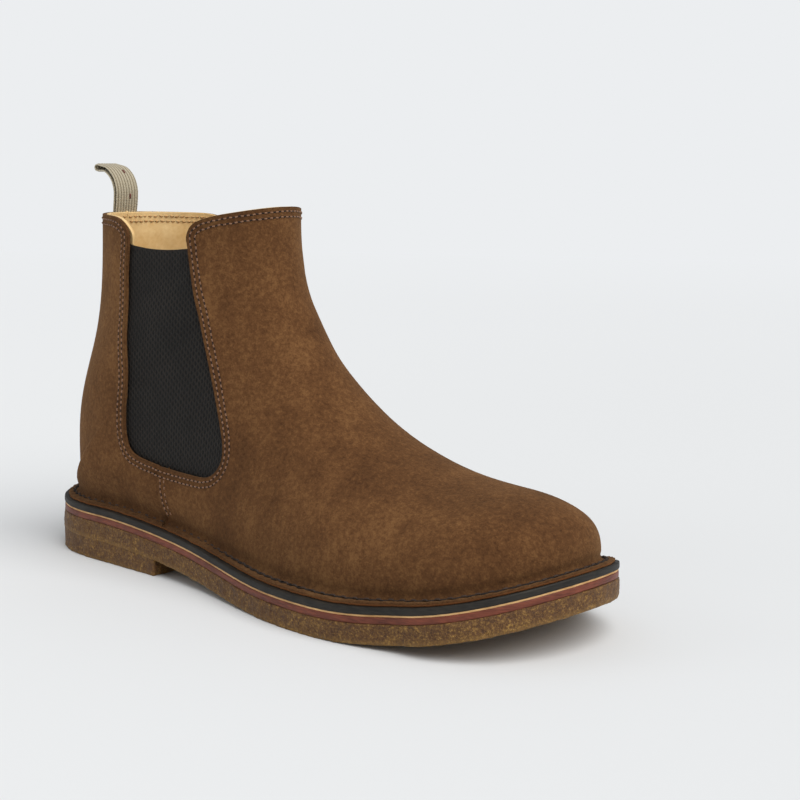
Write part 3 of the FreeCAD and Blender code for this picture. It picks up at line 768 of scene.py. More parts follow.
WELT_THREAD = simple("welt_thread_mat", paint(36, 23, 15), paint(60, 40, 26), 0.7, 0.0004)
DASH_THREAD = simple("dash_thread_mat", paint(84, 36, 28), paint(120, 58, 46), 0.6, 0.0003)
# Painted shade: colour of the dark discs that stand for the shade in the needle holes.
NEEDLE_HOLE_SHADE = simple("needle_hole_shade_mat", paint(22, 13, 7), paint(34, 20, 11), 0.9)

# ---- the upper's outlines -----------------------------------------------------------------------

EDGE = catmull(UPPER_EDGE, FINE)
SEAM = catmull(SIDE_SEAM, FINE)


def seam_x(z):
    return np.interp(z, SEAM[::-1, 1], SEAM[::-1, 0])


def ahead_of_seam(points):
    """How far side view places lie in front of the side seam."""
    return points[:, 0] - seam_x(points[:, 2])


def foot_contour(height):
    """(row, column) places at a height over the feather plane, from the back of the heel over
    the outer side and the toe to the back again."""
    lift = SURFACE[:, :, 2] - feather_z(SURFACE[:, :, 0]) - height
    turn_row = 40
    places = []
    corner = int(np.argmin(abs(ROW_K - CORNER)))
    last = corner + int(np.argmax(lift[corner:, 0] > 0))
    for row in range(last - 1, turn_row, -1):
        column = int(np.argmax(lift[row, :COLUMNS + 1] > 0))
        if column == 0:
            continue
        a, b = lift[row, column - 1], lift[row, column]
        places.append((row, column - b / (b - a)))
    back = last - lift[last, 0] / (lift[last, 0] - lift[last - 1, 0])
    inner = []
    for row, column in places:
        inner_lift = lift[row, ::-1]
        at = int(np.argmax(inner_lift[:COLUMNS + 1] > 0))
        a, b = inner_lift[at - 1], inner_lift[at]
        inner.append((row, 2 * COLUMNS - (at - b / (b - a))))
    toe = []
    edge = [(row, 0) for row in range(turn_row, 0, -1)] + [(0, c) for c in range(0, 2 * COLUMNS, 2)]
    edge += [(row, 2 * COLUMNS) for row in range(0, turn_row)]
    centre = np.array((turn_row, COLUMNS), float)
    for end in edge:
        path = centre + (np.array(end, float) - centre) * np.linspace(0, 1, 400)[:, None]
        values = sample(lift[..., None], path)[:, 0]
        under = np.nonzero(values < 0)[0]
        if len(under):
            toe.append(path[under[0]])
    line = np.array([(back, 0.0)] + places + [tuple(p) for p in toe] + inner[::-1]
                    + [(back, 2.0 * COLUMNS)])
    return space_evenly(line, COARSE)


def space_evenly(line, step):
    """A line of (row, column) places with even spacing on the surface."""
    along = travelled(sample(SURFACE, line))
    target = np.linspace(0, along[-1], max(2, int(round(along[-1] / step)) + 1))
    return read_at(target, along, line)


FOOT_LINE = foot_contour(WALL_FOOT)


def side_line(line, side):
    """A side view line as evenly spaced places on the surface."""
    return space_evenly(locate(line, side), COARSE)


def flange_profile(start):
    """Wall, bend and flange round to the inner wall again, as (out, up) from the feather line."""
    wall = start * (SUEDE_T + BEND_R) / WALL_FOOT
    turn = np.radians(np.array((15, 35, 55, 75, 90)))
    bend = np.column_stack((wall + BEND_R * (1 - np.cos(turn)), SUEDE_T + BEND_R * (1 - np.sin(turn))))
    middle = (wall + BEND_R + FLANGE_OUT) / 2
    inner = wall - WALL_T
    rest = ((middle, SUEDE_T + 0.05), (FLANGE_OUT - 0.5, SUEDE_T), (FLANGE_OUT - 0.08, SUEDE_T - 0.35),
            (FLANGE_OUT, 0.9), (FLANGE_OUT - 0.1, 0.3), (FLANGE_OUT - 0.5, 0.04), (middle, 0.04),
            (inner + 3.0, 0.05), (inner + 0.9, 0.7), (inner + 0.1, 2.2))
    head = ((wall + (start - wall) * 0.2, SUEDE_T + BEND_R + 0.3),)
    return np.vstack((head, bend, rest, ((inner + (start - wall) * 0.5, 4.0),)))


def nearest_feather(points):
    """For each point: the nearest place on the feather line in plan, its outward direction,
    how far out of it the point stands, and how far along the line that place is."""
    line = FEATHER[:-1]
    near = ((points[:, None, :2] - line) ** 2).sum(2).argmin(1)
    outward = outward_plan(line)[near]
    out = ((points[:, :2] - line[near]) * outward).sum(1)
    return points[:, :2] - outward * out[:, None], outward, out, near * COARSE


def turn_out(rings, on_foot, wall):
    """Sweeps a panel's foot round the flange, which is puckered between the welt stitches."""
    feet, outward, start, distance = nearest_feather(wall[on_foot])
    for column, foot, direction, out in zip(np.nonzero(on_foot)[0], feet, outward, start):
        profile = flange_profile(float(out))
        plan = foot + direction * profile[:, :1]
        rings[:, column] = np.column_stack((plan, feather_z(plan[:, 0]) + profile[:, 1]))
    around = np.zeros(len(wall))
    around[on_foot] = distance
    pucker = PUCKER * np.cos(2 * math.pi * around / WELT_PITCH)
    for ring in range(4, 9):
        rings[ring][on_foot, 2] += pucker[on_foot] * (1 - abs(ring - 6) / 3)
    wobble = RNG.normal(0, 0.12, len(wall)) + pucker * 0.6
    wobble = (wobble + np.roll(wobble, 1) + np.roll(wobble, -1)) * 0.8
    for ring in range(7, 12):
        rings[ring][on_foot, :2] += outward * wobble[on_foot][:, None]


def leather_panel(name, border, foot_count, outer_depth, inner_depth, material):
    """A panel of the upper over a closed border of (row, column) places. The first foot_count
    places of the border lie on the foot line, and there the panel turns out into the flange.
    Returns the piece and its vertices in millimetres."""
    places, faces = fill_region(border)
    faces = [tuple(reversed(face)) for face in faces]
    points, normals = surface_at(places)
    outer = points - normals * outer_depth(points)[:, None]
    inner = points - normals * inner_depth(points)[:, None]
    count = len(outer)
    vertices = [outer.copy(), inner.copy()]
    skin = faces + [tuple(v + count for v in reversed(f)) for f in faces]
    total = 2 * count
    for loop in border_loops(faces):
        ids = np.array(loop)
        wall = outer[ids]
        out = unit(np.cross(np.roll(wall, -1, 0) - np.roll(wall, 1, 0), normals[ids]))
        down = inner[ids] - wall
        on_foot = np.zeros(len(ids), bool)
        if foot_count:
            gap = ((places[ids][:, None] - border[:foot_count]) ** 2).sum(2).min(1)
            on_foot = gap < 1e-6
        round_off = np.minimum(EDGE_ROUND, np.linalg.norm(down, axis=1) * 0.4)
        pull = out * np.where(on_foot, 0, round_off)[:, None]
        vertices[0][ids] -= pull
        vertices[1][ids] -= pull
        angles = np.linspace(0, math.pi, FLANGE_RINGS + 2)[1:-1]
        rings = np.array([wall + down * (1 - math.cos(a)) / 2 - pull * (1 - math.sin(a) ** 0.6)
                          for a in angles])
        if on_foot.any():
            turn_out(rings, on_foot, wall)
        bands = [ids]
        for ring in rings:
            bands.append(total + np.arange(len(ids)))
            vertices.append(ring)
            total += len(ids)
        bands.append(ids + count)
        skin += between_bands(bands)
    vertices = np.vstack(vertices)
    return make_piece(name, vertices, skin, material), vertices


def edge_values(piece, vertices, edges):
    """Distance to the cut edges, and height over the feather plane, which the suede's material uses to
    darken it along the edges and, as painted shade, towards the foot.
    """
    set_values(piece, "edge", np.clip(distance_to(vertices, edges), 0, 20))
    set_values(piece, "low", np.clip(vertices[:, 2] - feather_z(vertices[:, 0]), 0, 40))


def vamp_edge(side):
    """From the side seam's top round the gore's front to the collar's middle."""
    line = EDGE[(EDGE[:, 0] >= seam_x(SEAM_TOP) + 0.3) & (EDGE[:, 1] < 175)]
    return space_evenly(up_to_front(locate(line, side)), COARSE)


def seam_line(side, lap, foot_height):
    """The side seam's line from the foot line up, moved forwards by lap at its upper end."""
    z = np.linspace(SEAM[-1, 1], SEAM_TOP - 0.9, 40)
    x = seam_x(z) + lap * smoothstep((z - 29.0) / 9.0)
    keep = z > feather_z(x) + foot_height + 0.8
    return side_line(np.column_stack((x, z))[keep], side)


def build_vamp(name, line, height, outer_depth, inner_depth, material):
    points = sample(SURFACE, line)
    ahead = np.nonzero(points[:, 0] > seam_x(points[:, 2]) + 0.05)[0]
    foot = line[ahead[0]:ahead[-1] + 1]
    outer, inner = (np.vstack((seam_line(side, 0.0, height), vamp_edge(side))) for side in (-1, 1))
    border = np.vstack((foot, inner, outer[:-1][::-1]))
    turned = len(foot) if height == WALL_FOOT else 0
    return leather_panel(name, border, turned, outer_depth, inner_depth, material)


def build_quarter(name, side, line, height, lap, outer_depth, inner_depth, material):
    points = sample(SURFACE, line)
    half = len(line) // 2
    part = np.arange(len(line)) < half if side < 0 else np.arange(len(line)) >= half
    foot = line[part & (points[:, 0] < seam_x(points[:, 2]) + 0.6)]
    if side > 0:
        foot = foot[::-1]
    limit = seam_x(SEAM_TOP) + lap
    rear = EDGE[: int(np.argmax((EDGE[:, 0] > limit) & (EDGE[:, 1] < 60)))].copy()
    rear[:, 1] -= 0.7 * smoothstep((rear[:, 0] - seam_x(SEAM_TOP) + 1.0) / 1.5) * (rear[:, 1] < 60)
    top = side_line(rear, side)[::-1]
    column = 0.0 if side < 0 else 2.0 * COLUMNS
    top[-1, 1] = column
    back = space_evenly(np.column_stack((np.linspace(top[-1, 0], foot[0, 0], 60),
                                         np.full(60, column))), COARSE)[1:-1]
    seam = seam_line(side, lap, height)
    border = np.vstack((foot, seam, top, back))
    if side > 0:
        border = np.vstack((foot[::-1], back[::-1], top[::-1], seam[::-1]))
    turned = len(foot) if height == WALL_FOOT else 0
    return leather_panel(name, border, turned, outer_depth, inner_depth, material)


def below_gore(points):
    return points[:, 2] < SEAM_TOP + 8


def lap_share(points):
    """1 at the side seam and behind it, 0 a little ahead of it and above it."""
    return smoothstep(1 - ahead_of_seam(points) / 5.0) * below_gore(points)


def vamp_depth(points):
    """The vamp's cut edge lies over the quarter."""
    return -0.5 * lap_share(points)


def vamp_under(points):
    return SUEDE_T - lap_share(points)


def quarter_depth(points):
    """The quarter sinks under the vamp's edge, but not where both turn out into the flange."""
    rise = smoothstep((points[:, 2] - feather_z(points[:, 0]) - WALL_FOOT) / 3.0)
    return 0.95 * smoothstep((ahead_of_seam(points) + 3.0) / 3.0) * below_gore(points) * rise


def quarter_under(points):
    return quarter_depth(points) * 0.3 + SUEDE_T - 0.02


def up_to_front(places):
    """Places of a line, cut where it meets the front's middle."""
    ahead = np.nonzero(abs(places[:, 1] - COLUMNS) < 1e-6)[0]
    return places[:ahead[0] + 1] if len(ahead) else places


def spatial(line, side):
    return sample(SURFACE, up_to_front(locate(line, side)))


EDGE_SPACE = np.vstack((spatial(EDGE, -1), spatial(EDGE, 1)[::-1]))

vamp, vamp_vertices = build_vamp("vamp_suede", FOOT_LINE, WALL_FOOT, vamp_depth, vamp_under, SUEDE)
edge_values(vamp, vamp_vertices, EDGE_SPACE)
quarters = {}
for side, name in ((-1, "quarter_outer_suede"), (1, "quarter_inner_suede")):
    quarters[side], vertices = build_quarter(name, side, FOOT_LINE, WALL_FOOT, SEAM_LAP,
                                             quarter_depth, quarter_under, SUEDE)
    edge_values(quarters[side], vertices, EDGE_SPACE)

# ---- back strip, gores and linings --------------------------------------------------------------


def closed_grid(grid_top, grid_bottom):
    """One closed skin from two grids of points that lie over each other."""
    rows, columns = grid_top.shape[:2]
    ring = [(0, c) for c in range(columns)] + [(r, columns - 1) for r in range(1, rows)]
    ring += [(rows - 1, c) for c in range(columns - 2, -1, -1)]
    ring += [(r, 0) for r in range(rows - 2, 0, -1)]
    count = rows * columns
    faces = []
    for r in range(rows - 1):
        for c in range(columns - 1):
            corner = r * columns + c
            quad = (corner, corner + 1, corner + columns + 1, corner + columns)
            faces.append(quad)
            faces.append(tuple(v + count for v in reversed(quad)))
    number = [r * columns + c for r, c in ring]
    for a, b in zip(number, number[1:] + number[:1]):
        faces.append((b, a, a + count, b + count))
    return np.vstack((grid_top.reshape(-1, 3), grid_bottom.reshape(-1, 3))), faces


def build_back_strip():
    """Narrow suede strip over the back seam, thinner towards its edges."""
    line_z = np.linspace(HEEL_STACK + 5.0, COLLAR_BACK_Z - 1.2, 90)
    corner = int(np.argmin(abs(ROW_K - CORNER)))
    rows = np.interp(line_z, SURFACE[corner:, 0, 2], np.arange(corner, len(ROW_K)))
    across = np.linspace(-STRIP_HALF, STRIP_HALF, 15)
    thick = STRIP_T * (1 - (abs(across) / STRIP_HALF) ** 6 * 0.5)
    top = []
    bottom = []
    for row in rows:
        step = np.linalg.norm(SURFACE[int(row), 1] - SURFACE[int(row), 0])
        places = np.array([(row, -s / step if s < 0 else 2 * COLUMNS - s / step) for s in across])
        top.append(surface_at(places, -thick)[0])
        bottom.append(surface_at(places, 0.25)[0])
    vertices, faces = closed_grid(np.array(top), np.array(bottom))
    return make_piece("back_strip_suede", vertices, faces, STRIP)


def build_gore(name, side):
    """Elastic panel under the suede's edges, a little sunk between them."""
    smooth = catmull(GORE_REAR + GORE_FOOT + GORE_FRONT, FINE)
    wide = offset_line(smooth, 6.0)
    wide = wide[(wide[:, 1] < GORE_TOP - 0.4) | (np.arange(len(wide)) < 3)]
    wide[0] = (wide[0][0], GORE_TOP)
    wide = np.vstack((wide[:1], wide[3:], [(wide[-1][0] - 0.5, GORE_TOP)]))
    ring = side_line(wide, side)
    top = space_evenly(np.vstack((ring[-1:], ring[:1])), COARSE)[1:-1]
    border = np.vstack((ring, top))
    if side > 0:
        border = border[::-1]
    opening = spatial(smooth, side)

    def depth(points):
        return 1.95 + 0.7 * smoothstep(distance_to(points, opening) / 9.0)
    piece, vertices = leather_panel(name, border, 0, depth, lambda p: depth(p) + GORE_T, GORE)
    set_uv(piece, vertices[:, [0, 2]])
    set_values(piece, "edge", np.clip(GORE_TOP - vertices[:, 2], 0, 20))
    return piece


def lining_depth(points):
    """The lining closes up to the suede's edge at the collar."""
    beside_tails = smoothstep((np.hypot(points[:, 0] - 24.0, points[:, 1]) - 8.0) / 5.0)
    high = smoothstep((points[:, 2] - 152.0) / 8.0) * beside_tails
    return LINING_TOP - 1.2 * high


def lining_under(points):
    """The turned edge is a thicker rim along the collar, with a soft wrinkle below."""
    x = points[:, 0]
    z = points[:, 2]
    rim = smoothstep(1 - distance_to(points, EDGE_SPACE) / 3.2) * smoothstep((z - 150) / 6.0)
    wave = 0.35 * np.sin(x * 0.55 + z * 0.21) * smoothstep((155 - z) / 12)
    return lining_depth(points) + LINING_T + 0.55 * rim + wave * (z > 110)


def lining_face(points):
    return lining_under(points) + 0.25


LINING_LINE = foot_contour(LINING_FOOT)
back_strip = build_back_strip()
gores = [build_gore("gore_outer_knit", -1), build_gore("gore_inner_knit", 1)]
vamp_lining = build_vamp("vamp_lining_leather", LINING_LINE, LINING_FOOT, lining_depth, lining_under,
                         LINING)[0]
quarter_linings = [
    build_quarter(name, side, LINING_LINE, LINING_FOOT, 0.4, lining_depth, lining_under, LINING)[0]
    for side, name in ((-1, "quarter_lining_outer"), (1, "quarter_lining_inner"))]

# ---- sole ---------------------------------------------------------------------------------------


def ripple(points, size, amount):
    """Smooth random offsets, about size across."""
    return np.array([noise.noise(Vector(p) / size) for p in points]) * amount


def slab(name, ring, high, low, profile, material, rough=0.0, flat_bottom=False, square_heel=False):
    """A sole layer. ring is its closed outline in plan, high and low are lifts over the feather
    plane, and profile is a list of (share of height, inset) down its edge."""
    ring = ring[:-1]
    count = len(ring)
    out = outward_plan(ring)
    inner = ring - out * CAP_INSET
    xs, ys = (np.arange(values.min(), values.max(), CAP_GRID) for values in ring.T)
    fill = np.array([(x, y) for x in xs for y in ys])
    fill = fill[inside(fill, inner)]
    fill = fill[distance_to(fill, closed(inner)) > CAP_GRID * 0.4]
    flat = [Vector(p) for p in np.vstack((inner, fill))]
    made = geometry.delaunay_2d_cdt(flat, [], [list(range(count))], 1, 1e-6)
    plan = np.array([tuple(v) for v in made[0]])
    caps = [tuple(f) for f in made[2]]

    def heights(place):
        floor = np.zeros(len(place)) if flat_bottom else feather_z(place[:, 0]) + low
        return feather_z(place[:, 0]) + high, floor
    vertices = [np.column_stack((plan, z)) for z in heights(plan)]
    faces = caps + [tuple(v + len(plan) for v in reversed(f)) for f in caps]
    bands = [np.arange(count)]
    square = (ring[:, 0] < HEEL_BREAST - 1.0) & square_heel
    for i, (share, inset) in enumerate(profile):
        keep = np.where(square & ((share > 0.5) != flat_bottom), 0.12, 1.0)
        place = ring - out * inset * keep[:, None]
        top, bottom = heights(place)
        points = np.column_stack((place, top + (bottom - top) * share))
        if rough:
            bump = ripple(points, 2.2, rough) + ripple(points, 6.0, rough * 0.9)
            points[:, :2] += out * bump[:, None]
            points[:, 2] += ripple(points + 50, 3.0, rough * 0.8) * (share > 0.6)
        vertices.append(points)
        bands.append(2 * len(plan) + i * count + np.arange(count))
    bands.append(np.arange(count) + len(plan))
    vertices = np.vstack(vertices)
    piece = make_piece(name, vertices, faces + between_bands(bands), material)
    bottom = 0.0 if flat_bottom else feather_z(vertices[:, 0]) + low
    set_values(piece, "low", np.clip(vertices[:, 2] - bottom, 0, 30))
    return piece


def edge_profile(inset, count):
    """Rounded upper and lower corners with a plain side between them."""
    turn = np.linspace(0, math.pi, count)
    return [((1 - math.cos(a)) / 2, inset * (1 - math.sin(a) ** 0.35)) for a in turn]


def heel_outline():
    ring = outline(SOLE_OUT + 0.2, 1.2)
    rear = ring[ring[:, 0] <= HEEL_BREAST]
    split = int(np.argmax(np.linalg.norm(np.diff(rear, axis=0), axis=1)))
    path = np.vstack((rear[split + 1:], rear[:split + 1]))
    return evenly(closed(path), 1.2)


def sock_outline():
    """The sock fills the floor of the lining, in plan."""
    places = foot_contour(INSOLE_T + SOCK_T + 0.4)
    ring = surface_at(places, LINING_TOP + LINING_T * 0.6)[0][:, :2]
    return evenly(closed(ring), COARSE)


SOLE_LAYERS = (
    ("welt_edge", "welt_strip", 0.0, WELT_T, SOLE_OUT, 0.35, WELT, 0.10),
    ("natural_edge", "natural_layer", -WELT_T, NATURAL_T, SOLE_OUT - 0.35, 0.1, NATURAL, 0.05),
    ("midsole_edge", "leather_midsole", -WELT_T - NATURAL_T, MIDSOLE_T, SOLE_OUT - 0.15, 0.3,
     MIDSOLE, 0.06),
)
sole = {}
for name, node, high, thick, out, inset, material, rough in SOLE_LAYERS:
    sole[node] = slab(name, outline(out), high, high - thick, edge_profile(inset, 7), material, rough)
crepe_top = -WELT_T - NATURAL_T - MIDSOLE_T
crepe_low = crepe_top - CREPE_T
CREPE_PROFILE = edge_profile(0.9, 12)
CREPE_ROUGH = 0.34
sole["crepe_outsole"] = slab("crepe_sole", outline(SOLE_OUT + 0.2, 1.1), crepe_top, crepe_low,
                             CREPE_PROFILE, CREPE, CREPE_ROUGH, square_heel=True)
heel = slab("crepe_heel", heel_outline(), crepe_low + 0.02, 0.0, CREPE_PROFILE, CREPE, CREPE_ROUGH,
            flat_bottom=True, square_heel=True)
sole["insole_board"] = slab("insole_board_fibre", outline(-INSOLE_IN - 0.1), INSOLE_T, 0.12,
                            edge_profile(0.3, 5), FIBRE)
sole["sock_liner"] = slab("sock_liner_leather", sock_outline(), INSOLE_T + SOCK_T,
                          INSOLE_T + 0.05, edge_profile(0.5, 5), SOCK)

# ---- stitches -----------------------------------------------------------------------------------


def sew(name, lines, material, pitch, length, radius, sink, hole):
    """Rows of thread stitches with a dark disc at both ends of each, painted shade standing for the
    needle hole.
    """
    starts = []
    ends = []
    lifts = []
    for points, normals in lines:
        along = travelled(points)
        count = max(1, int(along[-1] / pitch))
        middle = (np.arange(count) + 0.5) * along[-1] / count
        shake = RNG.normal(0, 0.1, (count, 2))
        low = read_at(middle - length / 2, along, points)
        high = read_at(middle + length / 2, along, points)
        up = unit(read_at(middle, along, normals))
        side = np.cross(unit(high - low), up)
        starts.append(low + side * shake[:, :1])
        ends.append(high + side * shake[:, 1:])
        lifts.append(up)
    starts, ends, lifts = np.vstack(starts), np.vstack(ends), np.vstack(lifts)
    raised = lifts * radius * 0.45
    thread = make_piece(name, *bars(starts + raised, ends + raised, lifts, radius, sink), material)
    # Dark discs at both ends of each stitch: painted shade for the needle holes.
    ways = unit(ends - starts) * hole
    spots = []
    faces = []
    for centre, up, way in zip(np.vstack((starts - ways / 2, ends + ways / 2)),
                               np.vstack((lifts, lifts)), np.vstack((ways, ways))):
        base = len(spots)
        side = np.cross(way, up) * 0.85
        for lift in (0.05, -0.25):
            for j in range(HOLE_SIDES):
                angle = 2 * math.pi * j / HOLE_SIDES
                spots.append(centre + up * lift + way * math.cos(angle) + side * math.sin(angle))
        upper = range(base, base + HOLE_SIDES)
        faces += [tuple(upper), tuple(v + HOLE_SIDES for v in reversed(upper))]
        for j in upper:
            k = base + (j + 1 - base) % HOLE_SIDES
            faces.append((j, k, k + HOLE_SIDES, j + HOLE_SIDES))
    return thread, make_piece(name + "_hole_shade", np.array(spots), faces, NEEDLE_HOLE_SHADE)


def row_on(line, side, gap, depth, inward=False):
    """A row of stitching beside a side view line, on the panel's surface or inside it."""
    places = up_to_front(locate(offset_line(line, gap), side))
    clear = (places[:, 1] > 0.05) & (places[:, 1] < 2 * COLUMNS - 0.05)
    places = space_evenly(places[clear], 0.5)
    points, normals = surface_at(places, depth(sample(SURFACE, places)))
    return points, -normals if inward else normals


def rows_beside(line, gaps, depth, inward=False):
    return [row_on(line, side, gap, depth, inward) for side in (-1, 1) for gap in gaps]


first_foot = int(np.argmax((EDGE[:, 1] < 60) & (EDGE[:, 0] > 90)))
collar_end = int(np.argmax(EDGE[:, 0] > 64))
collar_start = int(np.argmax((EDGE[:, 1] > 156) & (EDGE[:, 0] > 90)))
seam_z = np.linspace(46.0, 28.5, 40)
seam_rows = []
for side in (-1, 1):
    for gap in STITCH_ROWS:
        row = np.column_stack((seam_x(seam_z) + gap, seam_z))
        seam_rows.append(row_on(row, side, 0.0, vamp_depth))
SUEDE_SEWING = (THREAD, STITCH_PITCH, 1.5, 0.34, 0.32, 0.42)
LINING_SEWING = (LINING_THREAD, STITCH_PITCH, 1.6, 0.36, 0.3, 0.2)
quarter_sewn = sew("quarter_thread", rows_beside(EDGE[4:first_foot + 1], STITCH_ROWS, quarter_depth),
                   *SUEDE_SEWING)
vamp_sewn = sew("vamp_thread", rows_beside(EDGE[first_foot:], STITCH_ROWS, vamp_depth), *SUEDE_SEWING)
seam_sewn = sew("side_seam_thread", seam_rows, *SUEDE_SEWING)
rear_rows = rows_beside(EDGE[4:collar_end], LINING_ROWS, lining_face, inward=True)
rear_lining_sewn = sew("quarter_lining_thread", rear_rows, *LINING_SEWING)
front_rows = rows_beside(EDGE[collar_start:], LINING_ROWS, lining_face, inward=True)
front_lining_sewn = sew("vamp_lining_thread", front_rows, *LINING_SEWING)
welt_ring = outline(FLANGE_OUT - WELT_ROW, 0.6)
welt_points = np.column_stack((welt_ring, feather_z(welt_ring[:, 0]) + SUEDE_T + 0.28))
welt_up = np.tile((0.0, 0.0, 1.0), (len(welt_points), 1))
welt_sewn = sew("welt_thread", [(welt_points, welt_up)], WELT_THREAD, WELT_PITCH, 3.0, 0.5, 0.6, 1.2)

# ---- pull loop ----------------------------------------------------------------------------------

LOOP_ROOT = (float(SECTION["back_x"](COLLAR_BACK_Z)) + (MIDDLE_TOP + MIDDLE_END) / 2,
             COLLAR_BACK_Z + 1.85)
LOOP_LINE = ((0, -2.4), (0.8, 5), (0.6, 10), (-1.8, 15), (-6.6, 18.6), (-12.8, 19.4))


def line_sides(line):
    """Directions along a side view line and to its right."""
    along = unit(np.gradient(line, axis=0))
    return along, np.column_stack((along[:, 1], -along[:, 0]))


def build_loop():
    """Webbing folded in two over its tip, with ribs along it."""
    centre = catmull(LOOP_LINE, 0.5) + LOOP_ROOT
    end = len(centre) - 1
    spread = np.interp(np.arange(end + 1), (0, 8, end - 8, end), (0.75, 1, 1.1, 1.5))
    along, side = line_sides(centre)
    reach = side * (LOOP_T + LOOP_GAP) / 2 * spread[:, None]
    left = centre - reach
    right = centre + reach
    tip = (left[-1] + right[-1]) / 2
    radius = np.linalg.norm(left[-1] - right[-1]) / 2
    start = math.atan2(*(left[-1] - tip)[::-1])
    sense = 1 if np.cross(left[-1] - tip, along[-1]) > 0 else -1
    turn = start + np.linspace(0, math.pi, 9)[1:-1] * sense
    arc = tip + radius * np.column_stack((np.cos(turn), np.sin(turn)))
    path = evenly(np.vstack((left, arc, right[::-1])), LOOP_STEP)
    side = line_sides(path)[1]
    u = np.linspace(-1, 1, LOOP_RIBS * 8 + 1)
    rib = abs(np.cos(u * math.pi * LOOP_RIBS / 2)) ** 0.7
    body = LOOP_T / 2 * np.clip((1 - abs(u) ** 14), 0.25, 1) * (0.66 + 0.34 * rib)
    skins = []
    for sign in (1, -1):
        at = path[:, None] + side[:, None] * (sign * body)[:, None]
        y = np.tile(u * LOOP_W / 2, (len(path), 1))
        skins.append(np.stack((at[..., 0], y, at[..., 1]), axis=2))
    piece = make_piece("pull_loop_webbing", *closed_grid(*skins), WEBBING)
    grid_u, grid_v = np.meshgrid(u * LOOP_W / 2, np.arange(len(path)) * LOOP_STEP)
    set_uv(piece, np.tile(np.column_stack((grid_u.ravel(), grid_v.ravel())), (2, 1)))
    # Rib height per vertex, lowest between the ribs, for the painted shade there.
    set_values(piece, "rib_shade", np.tile(rib, 2 * len(path)))
    return piece, path, side


def build_dashes(path, side):
    """Short tacks on both faces of the loop."""
    middles = []
    ways = []
    lifts = []
    half = len(path) // 2
    for share in (0.28, 0.66):
        for end in (-1, 1):
            i = min(max(int(round(half + end * (1 - share) * half)), 1), len(path) - 3)
            away = side[i] * (1 if (path[i] - path[-1 - i]) @ side[i] > 0 else -1)
            way = (path[i + 1] - path[i]) / LOOP_STEP
            lifts.append(np.array((away[0], 0, away[1])))
            middles.append(np.array((path[i, 0], 1.4, path[i, 1])) + lifts[-1] * 0.55)
            ways.append(np.array((way[0], 0, way[1])) * 1.5)
    middles, ways = np.array(middles), np.array(ways)
    tacks = bars(middles - ways, middles + ways, np.array(lifts), 0.42, 0.3)
    return make_piece("pull_loop_thread", *tacks, DASH_THREAD)


loop, loop_path, loop_side = build_loop()
dashes = build_dashes(loop_path, loop_side)

# ---- pieces attached to bodies, the others baked in place; the CAD parts they replace are hidden - ---


def place(x, z):
    return tuple(to_row((x, 0.0, z)))


def rides_foot(piece):
    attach(piece, "foot")


def rides_loop(piece):
    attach(piece, "pull_loop")


def bends_at_toe(piece):
    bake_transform(piece)


def bends_with_shaft(piece):
    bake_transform(piece)


def stretches_with_shaft(piece):
    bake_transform(piece)


FOLLOWERS = (
    (bends_at_toe, (
        (vamp, "brown_suede", "vamp"),
        (vamp_lining, "lining_leather", "vamp_lining"),
        (sole["welt_strip"], "dark_welt", "welt_strip"),
        (sole["natural_layer"], "natural_leather", "natural_layer"),
        (sole["leather_midsole"], "red_leather", "leather_midsole"),
        (sole["crepe_outsole"], "crepe_rubber", "crepe_outsole"),
        (sole["insole_board"], "insole_fibre", "insole_board"),
        (sole["sock_liner"], "sock_leather", "sock_liner"),
        (welt_sewn[0], "thread", "welt_stitching"),
        (welt_sewn[1], "thread", None))),
    (bends_with_shaft, (
        (quarters[-1], "brown_suede", "quarter_outer"),
        (quarters[1], "brown_suede", "quarter_inner"),
        (back_strip, "brown_suede", "back_strip"),
        (quarter_linings[0], "lining_leather", "quarter_lining"),
        (quarter_linings[1], "lining_leather", None),
        (quarter_sewn[0], "thread", "quarter_stitching"),
        (quarter_sewn[1], "thread", None),
        (rear_lining_sewn[0], "thread", None),
        (rear_lining_sewn[1], "thread", None))),
    (stretches_with_shaft, (
        (gores[0], "gore_elastic", "gore_outer"),
        (gores[1], "gore_elastic", "gore_inner"))),
    (rides_foot, (
        (heel, "crepe_rubber", "heel_block"),
        (vamp_sewn[0], "thread", "vamp_stitching"),
        (vamp_sewn[1], "thread", None),
        (seam_sewn[0], "thread", "side_seam_stitching"),
        (seam_sewn[1], "thread", None),
        (front_lining_sewn[0], "thread", None),
        (front_lining_sewn[1], "thread", None))),
    (rides_loop, (
        (loop, "loop_webbing", "pull_loop"),
        (dashes, "thread", None))),
)
for follow, rows in FOLLOWERS:
    for piece, slot, node in rows:
        follow(piece)
        if node:
            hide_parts(node)

for node, material in (("heel_counter", STIFFENER), ("toe_puff", STIFFENER), ("shank", STEEL),
                       ("pull_loop_tails", WEBBING)):
    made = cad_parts[node]
    made.data.materials.clear()
    made.data.materials.append(material)

# ---- floor, light and camera --------------------------------------------------------------------


STUDIO = paint(236, 238, 240)


